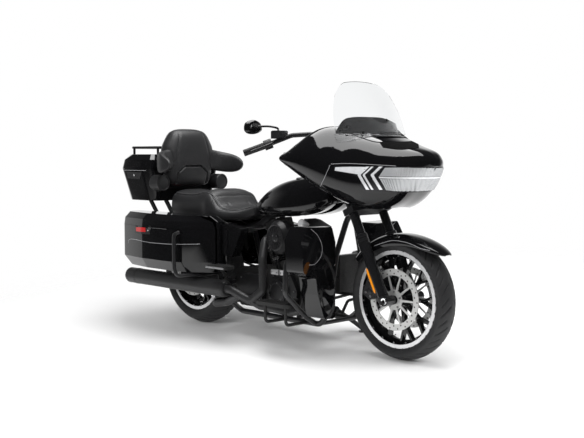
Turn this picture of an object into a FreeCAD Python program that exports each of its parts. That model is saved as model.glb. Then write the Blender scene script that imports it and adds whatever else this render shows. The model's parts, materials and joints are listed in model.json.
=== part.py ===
"""Touring cruiser motorcycle, in millimetres.

The bike frame has x forward from the rear axle, y to the left and z up from the ground.
Every sub-part is built upright in it, and one stance placement leans the whole bike on its side stand.
"""
import FreeCAD, Part
import math
import os
import re
from types import SimpleNamespace

import Sketcher

V = FreeCAD.Vector

SIZES = {
    # Stance
    "wheelbase": 1625.0,
    "lean_degrees": 5.0,
    "fit_gap": 0.3,
    "running_gap": 0.1,
    "overrun": 20.0,
    "stance_lift": 0.45,
    "stance_shift_x": -662.0,
    "stance_shift_y": -78.7,
    # Steering geometry
    "rake_degrees": 26.0,
    "trail": 170.0,
    "fork_setback": 34.0,
    "fork_half_track": 118.0,
    # Front wheel
    "front_tyre_radius": 319.0,
    "front_tyre_width": 130.0,
    "front_crown_drop": 30.0,
    "front_flange_radius": 255.0,
    "front_seat_radius": 241.0,
    "front_well_radius": 222.0,
    "front_rim_half": 51.0,
    "front_disc_radius": 160.0,
    "front_disc_offset": 66.0,
    # Rear wheel
    "rear_tyre_radius": 327.5,
    "rear_tyre_width": 180.0,
    "rear_crown_drop": 42.0,
    "rear_flange_radius": 242.5,
    "rear_seat_radius": 228.5,
    "rear_well_radius": 209.0,
    "rear_rim_half": 76.0,
    "rear_disc_radius": 150.0,
    "rear_disc_offset": 98.0,
    "pulley_radius": 112.0,
    "pulley_offset": 112.0,
    "pulley_width": 28.0,
    # Wheel castings
    "rim_wall": 8.0,
    "lip_depth": 7.0,
    "seat_width": 24.0,
    "well_slope": 12.0,
    "hub_radius": 46.0,
    "axle_bore_radius": 13.0,
    "spoke_root_radius": 36.0,
    "spoke_fork_radius": 140.0,
    "spoke_half_width": 8.0,
    "spoke_tip_spread": 42.0,
    "spoke_tip_width": 13.0,
    "spoke_depth": 30.0,
    "spoke_count": 9.0,
    "tyre_wall": 11.0,
    "disc_thickness": 5.0,
    "disc_band": 34.0,
    "carrier_radius": 52.0,
    "carrier_arm": 13.0,
    "carrier_count": 10.0,
    # Axles
    "axle_end_bore_radius": 7.0,
    "axle_end_bore_depth": 40.0,
    # Fork
    "fork_tube_radius": 24.5,
    "fork_slider_radius": 31.0,
    "fork_slider_top": 640.0,
    "fork_slider_bottom": 300.0,
    "fork_top": 1085.0,
    "axle_boss_radius": 26.0,
    "axle_boss_width": 64.0,
    "lower_yoke_along": 858.0,
    "upper_yoke_along": 1042.0,
    "yoke_thickness": 34.0,
    "yoke_margin": 36.0,
    "stem_radius": 15.0,
    "head_wall": 14.0,
    "steering_lock_degrees": 33.0,
    # Front fender
    "front_fender_radius": 337.0,
    "fender_wall": 4.0,
    # Frame
    "frame_tube_radius": 16.0,
    "backbone_radius": 26.0,
    "cradle_half_width": 135.0,
    "cradle_height": 142.0,
    "upright_half_width": 175.0,
    "rail_radius": 13.0,
    "rail_half_width": 131.0,
    "rail_height": 638.0,
    "frame_bend": 55.0,
    # Swingarm and shocks
    "pivot_x": 400.0,
    "pivot_height": 300.0,
    "arm_inner": 133.0,
    "arm_thickness": 24.0,
    "arm_height": 60.0,
    "shock_radius": 24.0,
    "shock_half_track": 163.0,
    # Engine
    "crank_x": 850.0,
    "crank_height": 290.0,
    "case_half_width": 108.0,
    "case_radius": 150.0,
    "vee_half_degrees": 22.5,
    "deck_height": 165.0,
    "barrel_radius": 62.0,
    "barrel_length": 120.0,
    "fin_size": 172.0,
    "fin_pitch": 15.0,
    "fin_thickness": 5.0,
    "fin_count": 8.0,
    "head_length": 72.0,
    "head_width": 150.0,
    "rocker_length": 62.0,
    "primary_depth": 88.0,
    "primary_radius": 112.0,
    "clutch_x": 560.0,
    "cam_radius": 92.0,
    "cam_depth": 52.0,
    "cleaner_depth": 74.0,
    "cleaner_half_width": 84.0,
    "cleaner_half_height": 103.0,
    # Exhaust
    "silencer_radius": 49.0,
    "silencer_offset": 290.0,
    "silencer_height": 290.0,
    "silencer_front": 560.0,
    "silencer_rear": -400.0,
    "pipe_radius": 24.0,
    "outlet_radius": 30.0,
    "outlet_depth": 60.0,
    # Luggage
    "shell_wall": 5.0,
    "lid_gap": 1.0,
    "bag_inner": 197.0,
    "bag_outer": 440.0,
    "bag_front": 290.0,
    "bag_rear": -400.0,
    "bag_bottom": 374.0,
    "bag_split": 628.0,
    "bag_lid_height": 78.0,
    "box_bottom": 772.0,
    "box_split": 975.0,
    "box_top": 1066.0,
    "box_rear": -620.0,
    "box_front": -190.0,
    "box_half_width": 300.0,
    "rack_tube_radius": 8.0,
    "rack_height": 44.0,
    # Bars
    "bar_radius": 12.7,
    "grip_radius": 18.0,
    "guard_radius": 16.0,
    # Panels
    "panel_wall": 5.0,
    "screen_wall": 4.0,
    # Stand
    "stand_leg_radius": 13.0,
    "stand_foot_y": 330.0,
    "stand_foot_x": 1060.0,
    "stand_pivot_x": 985.0,
    "stand_pivot_y": 182.0,
    "stand_pivot_height": 168.0,
    "stand_range_degrees": 92.0,
}


def make_sheet(doc):
    """Write every driving dimension to the sheet and give its cell an alias."""
    sheet = doc.addObject("Spreadsheet::Sheet", "Sizes")
    for row, (alias, value) in enumerate(SIZES.items(), start=1):
        sheet.set(f"A{row}", alias)
        sheet.set(f"B{row}", repr(value))
        sheet.setAlias(f"B{row}", alias)
    doc.recompute()
    return sheet


DOC = FreeCAD.newDocument("TouringCruiser")
SHEET = make_sheet(DOC)
MM = SimpleNamespace(**{alias: float(SHEET.get(alias)) for alias in SIZES})


def bind(text):
    """Turn the aliases in a formula into references to the sheet."""
    return re.sub(r"\b[a-z]\w*\b", lambda word: "Sizes." + word[0] if word[0] in SIZES else word[0], text)


def worked(text):
    """Value of a formula of aliases."""
    return float(SHEET.evalExpression(bind(text)))


# Places in the bike frame

RAKE = math.radians(MM.rake_degrees)
AXLE_FRONT = V(MM.wheelbase, 0, MM.front_tyre_radius)
AXLE_REAR = V(0, 0, MM.rear_tyre_radius)
STEER_FOOT = V(MM.wheelbase + MM.trail, 0, 0)
STEER_UP = V(-math.sin(RAKE), 0, math.cos(RAKE))
STEERING = FreeCAD.Placement(STEER_FOOT, FreeCAD.Rotation(V(0, 1, 0), -MM.rake_degrees))


def stance():
    """Placement that leans the bike to the left on its stand and centres its box on the origin."""
    lean = FreeCAD.Rotation(V(1, 0, 0), -MM.lean_degrees)
    return FreeCAD.Placement(V(MM.stance_shift_x, MM.stance_shift_y, MM.stance_lift), lean)


NODES = []


def finish(obj, label, local=None):
    """Label a sub-part and give it the stance, over its own place in the bike frame."""
    obj.Label = label
    place = STANCE if local is None else STANCE.multiply(local)
    obj.Placement = place
    NODES.append(obj)
    return obj


def feature(shape, label):
    """Sub-part whose shape is worked out here."""
    obj = DOC.addObject("Part::Feature", label)
    obj.Shape = shape
    return finish(obj, label)


# Sketches and bodies


def origin_feature(body, role):
    return next(item for item in body.Origin.OriginFeatures if item.Role == role)


def new_body(name):
    return DOC.addObject("PartDesign::Body", name)


def new_sketch(body, name, role, offset=None):
    """Empty sketch on an origin plane of its body."""
    sketch = body.newObject("Sketcher::SketchObject", name)
    sketch.AttachmentSupport = [(origin_feature(body, role), "")]
    sketch.MapMode = "FlatFace"
    if offset is not None:
        sketch.AttachmentOffset = FreeCAD.Placement(V(0, 0, worked(offset)), FreeCAD.Rotation())
        sketch.setExpression("AttachmentOffset.Base.z", bind(offset))
    return sketch


def outline(sketch, points, arcs=None):
    """Closed outline through points given as formulas; arcs maps a side to its (radius, turn)."""
    arcs = arcs or {}
    spots = [V(worked(across), worked(up), 0) for across, up in points]
    first = sketch.GeometryCount
    for side, start in enumerate(spots):
        end = spots[(side + 1) % len(spots)]
        if side not in arcs:
            sketch.addGeometry(Part.LineSegment(start, end), False)
            continue
        radius, turn = worked(arcs[side][0]), arcs[side][1]
        half = (end - start) * 0.5
        rise = math.sqrt(max(radius ** 2 - half.Length ** 2, 0))
        normal = V(-half.y, half.x, 0).normalize() * rise * turn
        centre = start + half + normal
        begin, stop = (start, end) if turn > 0 else (end, start)
        angles = [math.atan2(spot.y - centre.y, spot.x - centre.x) for spot in (begin, stop)]
        circle = Part.Circle(centre, V(0, 0, 1), radius)
        sketch.addGeometry(Part.ArcOfCircle(circle, angles[0], angles[1]), False)
    ends = []
    for side in range(len(spots)):
        flipped = side in arcs and arcs[side][1] < 0
        ends.append((2, 1) if flipped else (1, 2))
    for side in range(len(spots)):
        after = (side + 1) % len(spots)
        sketch.addConstraint(Sketcher.Constraint("Coincident", first + side, ends[side][1],
                                                 first + after, ends[after][0]))
    for side, (across, up) in enumerate(points):
        for kind, text, value in (("DistanceX", across, spots[side].x), ("DistanceY", up, spots[side].y)):
            row = sketch.addConstraint(Sketcher.Constraint(kind, -1, 1, first + side, ends[side][0], value))
            sketch.setExpression(f"Constraints[{row}]", bind(text))
    for side, (radius, _turn) in arcs.items():
        row = sketch.addConstraint(Sketcher.Constraint("Radius", first + side, worked(radius)))
        sketch.setExpression(f"Constraints[{row}]", bind(radius))
    return sketch


def ring(sketch, across, up, radius):
    """Circle with its centre and radius given as formulas."""
    centre = V(worked(across), worked(up), 0)
    index = sketch.addGeometry(Part.Circle(centre, V(0, 0, 1), worked(radius)), False)
    row = sketch.addConstraint(Sketcher.Constraint("Radius", index, worked(radius)))
    sketch.setExpression(f"Constraints[{row}]", bind(radius))
    for kind, text, value in (("DistanceX", across, centre.x), ("DistanceY", up, centre.y)):
        row = sketch.addConstraint(Sketcher.Constraint(kind, -1, 1, index, 3, value))
        sketch.setExpression(f"Constraints[{row}]", bind(text))
    return sketch


def revolve(body, sketch, axis="V_Axis", kind="PartDesign::Revolution"):
    turned = body.newObject(kind, sketch.Name + "_turned")
    turned.Profile = sketch
    turned.ReferenceAxis = (sketch, [axis])
    turned.Angle = 360
    DOC.recompute()
    return turned


def pad(body, sketch, length, both_ways=False, kind="PartDesign::Pad"):
    padded = body.newObject(kind, sketch.Name + "_" + kind[-3:].lower())
    padded.Profile = sketch
    padded.setExpression("Length", bind(length))
    if both_ways:
        padded.Midplane = True
    DOC.recompute()
    return padded


def polar(body, features, axis_role, count):
    pattern = body.newObject("PartDesign::PolarPattern", features[-1].Name + "_round")
    pattern.Originals = features
    pattern.Axis = (origin_feature(body, axis_role), [""])
    pattern.Angle = 360
    pattern.setExpression("Occurrences", bind(count))
    body.Tip = pattern
    DOC.recompute()
    return pattern


# Solids worked out with Part


def mirror(shape):
    """The same shape on the other side of the bike."""
    return shape.mirror(V(0, 0, 0), V(0, 1, 0))


def both(shape):
    """A shape and its mirror image, as solids of one sub-part."""
    return Part.makeCompound([shape, mirror(shape)])


def fused(shapes):
    joined = shapes[0].multiFuse(shapes[1:]) if len(shapes) > 1 else shapes[0]
    return joined.removeSplitter()


def rod(start, end, radius):
    """Round bar from one point to another."""
    run = end - start
    return Part.makeCylinder(radius, run.Length, start, run)


def tube(points, radius, bend):
    """Round tube along straight runs joined by tangent arcs."""
    edges = []
    last = points[0]
    for before, corner, after in zip(points, points[1:], points[2:]):
        into = (corner - before).normalize()
        out = (after - corner).normalize()
        turn = into.getAngle(out)
        reach = min(bend * math.tan(turn / 2), 0.45 * (corner - before).Length, 0.45 * (after - corner).Length)
        start = corner - into * reach
        stop = corner + out * reach
        middle_way = (out - into).normalize()
        arc_radius = reach / math.tan(turn / 2)
        centre = corner + middle_way * (arc_radius / math.cos(turn / 2))
        middle = centre - middle_way * arc_radius
        edges.append(Part.makeLine(last, start))
        edges.append(Part.Arc(start, middle, stop).toShape())
        last = stop
    edges.append(Part.makeLine(last, points[-1]))
    path = Part.Wire(edges)
    section = Part.Wire([Part.makeCircle(radius, points[0], points[1] - points[0])])
    return path.makePipeShell([section], True, False)


def corner_wire(points, radius):
    """Closed flat outline with every corner rounded."""
    count = len(points)
    starts, middles, stops = [], [], []
    for index, corner in enumerate(points):
        into = (corner - points[index - 1]).normalize()
        out = (points[(index + 1) % count] - corner).normalize()
        turn = into.getAngle(out)
        room = 0.49 * min((corner - points[index - 1]).Length, (points[(index + 1) % count] - corner).Length)
        reach = min(radius * math.tan(turn / 2), room)
        arc_radius = reach / math.tan(turn / 2)
        way = (out - into).normalize()
        centre = corner + way * (arc_radius / math.cos(turn / 2))
        starts.append(corner - into * reach)
        middles.append(centre - way * arc_radius)
        stops.append(corner + out * reach)
    edges = []
    for index in range(count):
        edges.append(Part.Arc(starts[index], middles[index], stops[index]).toShape())
        edges.append(Part.makeLine(stops[index], starts[(index + 1) % count]))
    return Part.Wire(edges)


def smooth_wire(points):
    """Closed smooth curve through the points."""
    curve = Part.BSplineCurve()
    curve.interpolate(Points=points, PeriodicFlag=True)
    return Part.Wire([curve.toShape()])


def loft(wires, ruled=False):
    return Part.makeLoft(wires, True, ruled)


def slab(wire, run):
    """Solid made by pushing a flat outline along a direction."""
    return Part.Face(wire).extrude(run)


def block(low, high):
    """Box between two corners."""
    size = high - low
    return Part.makeBox(size.x, size.y, size.z, low)


STANCE = stance()


# Wheels


def wheel_rim(label, name, disc_offset, axle):
    """Cast rim: barrel, hub and forked spokes; name picks the front or rear sizes."""
    body = new_body(label)
    half, flange, seat, well = f"{name}_rim_half", f"{name}_flange_radius", f"{name}_seat_radius", f"{name}_well_radius"
    shoulder = f"({half} - lip_depth)"
    step = f"({half} - lip_depth - seat_width)"
    floor = f"({half} - lip_depth - seat_width - well_slope)"
    upper = [(flange, half), (flange, shoulder), (seat, shoulder), (seat, step), (well, floor)]
    lower = [(radius, "-" + place) for radius, place in reversed(upper)]
    inner_upper = [(f"{well} - rim_wall", floor), (f"{seat} - rim_wall", step), (f"{seat} - rim_wall", half)]
    inner_lower = [(radius, "-" + place) for radius, place in reversed(inner_upper)]
    barrel = outline(new_sketch(body, label + "_barrel", "XY_Plane"), upper + lower + inner_lower + inner_upper)
    revolve(body, barrel)
    hub_half = f"({disc_offset} - disc_thickness / 2 - fit_gap)"
    hub = outline(new_sketch(body, label + "_hub", "XY_Plane"), [
        ("axle_bore_radius", "-" + hub_half), ("hub_radius", "-" + hub_half),
        ("hub_radius", hub_half), ("axle_bore_radius", hub_half)])
    spoke = new_sketch(body, label + "_spoke", "XZ_Plane")
    tip = f"({well} - rim_wall / 2)"
    outline(spoke, [
        ("spoke_root_radius", "-spoke_half_width"), ("spoke_fork_radius", "-spoke_half_width"),
        (tip, "-spoke_tip_spread"), (tip, "-spoke_tip_spread + spoke_tip_width"),
        ("spoke_fork_radius + spoke_half_width * 2", "0"),
        (tip, "spoke_tip_spread - spoke_tip_width"), (tip, "spoke_tip_spread"),
        ("spoke_fork_radius", "spoke_half_width"), ("spoke_root_radius", "spoke_half_width")])
    hub_turned = revolve(body, hub)
    arm = pad(body, spoke, "spoke_depth", both_ways=True)
    polar(body, [arm], "Y_Axis", "spoke_count")
    if hub_turned.State == ["Invalid"]:
        raise RuntimeError(label + " hub failed")
    return finish(body, label, FreeCAD.Placement(axle, FreeCAD.Rotation()))


def wheel_tyre(label, name, axle):
    """Tyre: crowned tread, bulged sidewalls and the open inside, seated on its rim."""
    body = new_body(label)
    half, crown, drop = f"({name}_tyre_width / 2)", f"{name}_tyre_radius", f"{name}_crown_drop"
    bead_out = f"({name}_flange_radius + fit_gap)"
    seat = f"({name}_seat_radius + fit_gap)"
    rim_half = f"{name}_rim_half"
    bead_in = f"({rim_half} - lip_depth - fit_gap)"
    toe = f"({rim_half} - lip_depth - tyre_wall)"
    points = [
        (f"{crown} - {drop}", half), (bead_out, rim_half), (bead_out, bead_in), (seat, bead_in), (seat, toe),
        (f"{name}_flange_radius", toe), (f"{crown} - {drop}", f"{half} - tyre_wall"),
        (f"{crown} - {drop}", f"-{half} + tyre_wall"), (f"{name}_flange_radius", "-" + toe), (seat, "-" + toe),
        (seat, "-" + bead_in), (bead_out, "-" + bead_in), (bead_out, "-" + rim_half), (f"{crown} - {drop}", "-" + half)]
    tread = f"({half} * {half} + {drop} * {drop}) / (2 * {drop})"
    inner_half, inner_drop = f"({half} - tyre_wall)", f"({drop} - tyre_wall)"
    inner = f"({inner_half} * {inner_half} + {inner_drop} * {inner_drop}) / (2 * {inner_drop})"
    arcs = {6: (inner, -1), 13: (tread, 1)}
    revolve(body, outline(new_sketch(body, label + "_section", "XY_Plane"), points, arcs))
    return finish(body, label, FreeCAD.Placement(axle, FreeCAD.Rotation()))


def brake_disc(body, name, radius, offset):
    """One disc with its carrier arms, at an offset along the axle."""
    middle = f"{offset}"
    band = new_sketch(body, name + "_band", "XZ_Plane", f"-({middle})")
    ring(band, "0", "0", radius)
    ring(band, "0", "0", f"{radius} - disc_band")
    pad(body, band, "disc_thickness", both_ways=True)
    arm = new_sketch(body, name + "_arm", "XZ_Plane", f"-({middle})")
    outline(arm, [("carrier_radius - 2 * disc_thickness", "-carrier_arm / 2"),
                  (f"{radius} - disc_band / 2", "-carrier_arm / 4"), (f"{radius} - disc_band / 2", "carrier_arm / 4"),
                  ("carrier_radius - 2 * disc_thickness", "carrier_arm / 2")])
    padded = pad(body, arm, "disc_thickness", both_ways=True)
    polar(body, [padded], "Y_Axis", "carrier_count")
    middle_ring = new_sketch(body, name + "_middle", "XZ_Plane", f"-({middle})")
    ring(middle_ring, "0", "0", "carrier_radius")
    ring(middle_ring, "0", "0", "axle_bore_radius + 2 * disc_thickness")
    pad(body, middle_ring, "disc_thickness", both_ways=True)


def discs(label, name, offsets, axle):
    """Brake discs of one wheel, as solids that don't touch."""
    shapes = []
    for index, offset in enumerate(offsets):
        body = new_body(f"{label}_{index}")
        brake_disc(body, f"{label}_{index}", f"{name}_disc_radius", offset)
        DOC.recompute()
        shapes.append(body)
    if len(shapes) == 1:
        return finish(shapes[0], label, FreeCAD.Placement(axle, FreeCAD.Rotation()))
    pair = DOC.addObject("Part::Compound", label)
    pair.Links = shapes
    return finish(pair, label, FreeCAD.Placement(axle, FreeCAD.Rotation()))


def pulley(label, axle):
    """Belt pulley on the left of the rear hub."""
    body = new_body(label)
    side = "(rear_disc_offset - disc_thickness / 2)"
    points = [("axle_bore_radius + 2 * disc_thickness", side), ("hub_radius", side),
              ("hub_radius", "pulley_offset - disc_thickness"), ("pulley_radius - disc_thickness", "pulley_offset - disc_thickness"),
              ("pulley_radius - disc_thickness", "pulley_offset - pulley_width / 2"),
              ("pulley_radius", "pulley_offset - pulley_width / 2"), ("pulley_radius", "pulley_offset + pulley_width / 2"),
              ("pulley_radius - disc_thickness", "pulley_offset + pulley_width / 2"),
              ("pulley_radius - disc_thickness", "pulley_offset + disc_thickness"),
              ("axle_bore_radius + 2 * disc_thickness", "pulley_offset + disc_thickness")]
    revolve(body, outline(new_sketch(body, label + "_section", "XY_Plane"), points))
    return finish(body, label, FreeCAD.Placement(axle, FreeCAD.Rotation()))


# Steering


def yokes():
    """Both yokes on their stem, along the steering axis."""
    body = new_body("yokes")
    back = "-fork_setback - yoke_margin"
    wide = "fork_half_track + yoke_margin"
    for name, along in (("lower", "lower_yoke_along"), ("upper", "upper_yoke_along")):
        plate = new_sketch(body, name + "_yoke", "XY_Plane", along)
        outline(plate, [("yoke_margin", "-yoke_margin"), ("yoke_margin", "yoke_margin"),
                        ("-fork_setback + yoke_margin", wide), (back, wide), (back, f"-({wide})"),
                        ("-fork_setback + yoke_margin", f"-({wide})")])
        ring(plate, "-fork_setback", "fork_half_track", "fork_tube_radius + fit_gap")
        ring(plate, "-fork_setback", "-fork_half_track", "fork_tube_radius + fit_gap")
        pad(body, plate, "yoke_thickness")
        if name == "lower":
            stem = new_sketch(body, "stem", "XY_Plane", along)
            ring(stem, "0", "0", "stem_radius")
            pad(body, stem, "upper_yoke_along - lower_yoke_along + yoke_thickness")
    return finish(body, "yokes", STEERING)


def fork_point(height):
    """Point on a fork leg's axis, in the middle plane."""
    setback = MM.fork_setback / math.cos(RAKE)
    return V(STEER_FOOT.x - setback - height * math.tan(RAKE), 0, height)


def fork_legs():
    """Tubes and sliders with the axle through their bosses."""
    side = V(0, MM.fork_half_track, 0)
    bottom = fork_point(MM.fork_slider_bottom) + side
    knee = fork_point(MM.fork_slider_top) + side
    top = STEER_FOOT + STEER_UP * MM.fork_top + STEERING.Rotation.multVec(V(-MM.fork_setback, 0, 0)) + side
    boss_start = AXLE_FRONT + side - V(0, MM.axle_boss_width / 2, 0)
    leg = [rod(bottom, knee, MM.fork_slider_radius), rod(bottom, top, MM.fork_tube_radius),
           Part.makeCylinder(MM.axle_boss_radius, MM.axle_boss_width, boss_start, V(0, 1, 0))]
    spacer_start = MM.front_disc_offset + MM.disc_thickness / 2 + MM.fit_gap
    spacer = Part.makeCylinder(MM.axle_bore_radius + MM.disc_thickness, MM.fork_half_track - spacer_start,
                               AXLE_FRONT + V(0, spacer_start, 0), V(0, 1, 0))
    half = leg + [spacer]
    reach = MM.fork_half_track + MM.axle_boss_width / 2
    axle = Part.makeCylinder(MM.axle_bore_radius - MM.running_gap, 2 * reach, AXLE_FRONT - V(0, reach, 0), V(0, 1, 0))
    whole = fused(half + [mirror(item) for item in half] + [axle])
    for way in (-1, 1):
        mouth = AXLE_FRONT + V(0, way * reach, 0)
        whole = whole.cut(Part.makeCylinder(MM.axle_end_bore_radius, MM.axle_end_bore_depth, mouth, V(0, -way, 0)))
    return feature(whole, "fork_legs")


def arch_wire(centre, angle, radius, half_width, depth, wall):
    """Section of a fender in the plane through its axle: an arch with a wall."""
    out = V(math.cos(angle), 0, math.sin(angle))

    def spot(across, up):
        return centre + out * up + V(0, across, 0)

    shares = [(-1.0, 1.0), (-0.94, 0.36), (-0.6, 0.08), (0.0, 0.0), (0.6, 0.08), (0.94, 0.36), (1.0, 1.0)]
    outer = [spot(half_width * wide, radius - depth * low) for wide, low in shares]
    inner = [spot((half_width - wall) * wide, radius - wall - (depth - wall) * low) for wide, low in reversed(shares)]
    top, under = Part.BSplineCurve(), Part.BSplineCurve()
    top.interpolate(outer)
    under.interpolate(inner)
    return Part.Wire([top.toShape(), Part.makeLine(outer[-1], inner[0]), under.toShape(), Part.makeLine(inner[-1], outer[0])])


def arch_mass(centre, stations, grow):
    """Solid filled under a fender's outer surface, grown outwards; each station is angle, radius, half width and depth."""
    wires = []
    for degrees, radius, half, depth in stations:
        outer = arch_wire(centre, math.radians(degrees), radius + grow, half + grow, depth, MM.fender_wall).Edges[0]
        wires.append(Part.Wire([outer, Part.makeLine(outer.lastVertex().Point, outer.firstVertex().Point)]))
    return loft(wires)


def front_fender():
    """Arched fender that lifts off the tyre to a pointed front tip."""
    half = MM.fork_half_track - MM.fork_slider_radius - 5
    radius = MM.front_fender_radius
    stations = [(40, 1.150, 0.30, 0.12), (47, 1.110, 0.72, 0.32), (58, 1.066, 0.92, 0.46), (74, 1.028, 1.0, 0.62),
                (92, 1.012, 1.0, 0.75), (112, 1.010, 1.0, 0.80), (132, 1.020, 0.985, 0.80), (143, 1.030, 0.94, 0.70)]
    wires = [arch_wire(AXLE_FRONT, math.radians(degrees), radius * far, half * wide, half * deep, MM.fender_wall)
             for degrees, far, wide, deep in stations]
    knee = fork_point(592)
    boss = rod(knee + V(0, 77, 0), knee + V(0, MM.fork_half_track - MM.fork_slider_radius - MM.fit_gap, 0), 11)
    return feature(fused([loft(wires), boss, mirror(boss)]), "front_fender")


def bar_points():
    """Corners of the right half of the handlebar, from its middle to the grip's end."""
    return [V(1238, 0, 1148), V(1230, -88, 1150), V(1150, -190, 1174), V(1056, -248, 1168),
            V(992, -314, 1132), V(890, -446, 1072)]


def handlebar():
    """Swept bar on two risers from the upper yoke."""
    corners = bar_points()
    path = [V(p.x, -p.y, p.z) for p in reversed(corners[1:])] + corners[1:]
    bar = tube(path, MM.bar_radius, MM.frame_bend)
    riser_foot = STEERING.multVec(V(-MM.fork_setback * 0.4, -MM.yoke_margin * 1.6, MM.upper_yoke_along + MM.yoke_thickness + MM.fit_gap))
    riser = rod(riser_foot, riser_foot + STEER_UP * 205, MM.grip_radius)
    half = [riser]
    grip_start = corners[-1] + (corners[-2] - corners[-1]) * 0.66
    half.append(rod(grip_start, corners[-1], MM.grip_radius))
    return feature(fused([bar] + half + [mirror(item) for item in half]), "handlebar")


def hand_controls():
    """Switch housings, fluid reservoirs and levers."""
    corners = bar_points()
    along = (corners[-2] - corners[-1]).normalize()
    start = corners[-1] + (corners[-2] - corners[-1]) * 0.665
    housing = rod(start + along * MM.fit_gap, start + along * 42, 27).cut(rod(start - along * 5, start + along * 60, MM.bar_radius + MM.fit_gap))
    tank = block(V(978, -330, 1150), V(1040, -262, 1190))
    tank = tank.cut(tube(corners, MM.bar_radius + MM.fit_gap, MM.frame_bend))
    lever_root = start + along * 20 + V(34, 0, 6)
    lever_tip = corners[-1] + V(62, -6, 8)
    lever = rod(lever_root, lever_tip, 7)
    arm = rod(start + along * 20 + V(20, 0, 4), lever_root, 10)
    half = fused([housing, lever, arm]).cut(rod(corners[-1], corners[-2], MM.bar_radius + MM.fit_gap))
    return feature(Part.makeCompound([half, mirror(half), tank, mirror(tank)]), "hand_controls")


def mirrors():
    """Mirror heads on stems from the hand controls."""
    foot = V(1000, -296, 1190.3)
    stem = tube([foot, foot + V(0, 0, 26), V(950, -400, 1216)], 6, 20)
    head = loft([corner_wire([V(930 + dx, -360, 1172), V(930 + dx, -480, 1178), V(930 + dx, -488, 1236), V(930 + dx, -372, 1252)], 22)
                 for dx in (0, 26)])
    half = fused([stem, head])
    return feature(both(half), "mirrors")


def front_calipers():
    """Four-piston calipers behind the fork legs, bridging the discs."""
    angle = math.radians(157)
    out, along = V(math.cos(angle), 0, math.sin(angle)), V(-math.sin(angle), 0, math.cos(angle))
    inside, outside = MM.front_disc_offset - 26, MM.fork_half_track - 8
    reach = MM.front_disc_radius
    middle = AXLE_FRONT + out * (reach - 24) + V(0, inside, 0)
    body = slab(corner_wire([middle + out * 38 + along * 52, middle + out * 38 - along * 52, middle - out * 32 - along * 62,
                             middle - out * 32 + along * 62], 16), V(0, outside - inside, 0))
    slot = Part.makeCylinder(reach + 5, MM.disc_thickness + 4, AXLE_FRONT + V(0, MM.front_disc_offset - MM.disc_thickness / 2 - 2, 0),
                             V(0, 1, 0))
    leg = fork_point(middle.z) + V(0, MM.fork_half_track, 0)
    lug = rod(V(middle.x, outside - 8, middle.z), V(leg.x, outside - 8, middle.z), 12)
    keep_off = rod(fork_point(MM.fork_slider_bottom - 20) + V(0, MM.fork_half_track, 0), fork_point(MM.fork_slider_top) + V(0, MM.fork_half_track, 0),
                   MM.fork_slider_radius + MM.fit_gap)
    shapes = [body.cut(slot).fuse(lug).cut(keep_off)]
    return feature(both(shapes[0]), "front_calipers")



# Frame and engine


def cradle_points():
    """Corners of the left cradle tube, from the steering head back and up to the seat rail."""
    low, wide = MM.cradle_height, MM.cradle_half_width
    out = MM.upright_half_width
    return [V(1330, 18, 846), V(1262, 38, 700), V(1245, 100, 520), V(1222, wide, 215), V(1165, wide, low), V(520, wide, low),
            V(430, out, 215), V(372, out, 330), V(318, 150, 590)]


def cradle_seat():
    """Cutter that seats a bracket on the left cradle tube with the fit gap."""
    return tube(cradle_points(), MM.frame_tube_radius + MM.fit_gap, MM.frame_bend)


def stand_pivot():
    """Centre of the stand's pivot, the direction to its ankle and its axis."""
    lean = math.radians(MM.lean_degrees)
    up = V(0, -math.sin(lean), math.cos(lean))
    ground = V(MM.stand_foot_x, MM.stand_foot_y, (MM.stand_foot_y * math.sin(lean) - MM.stance_lift) / math.cos(lean))
    pivot = V(MM.stand_pivot_x, MM.stand_pivot_y, MM.stand_pivot_height)
    ankle = ground + up * 20
    down = (ankle - pivot).normalize()
    stowed = V(-0.94, 0.33, 0.08).normalize()
    return pivot, ankle, ground, up, down.cross(stowed).normalize()


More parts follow.
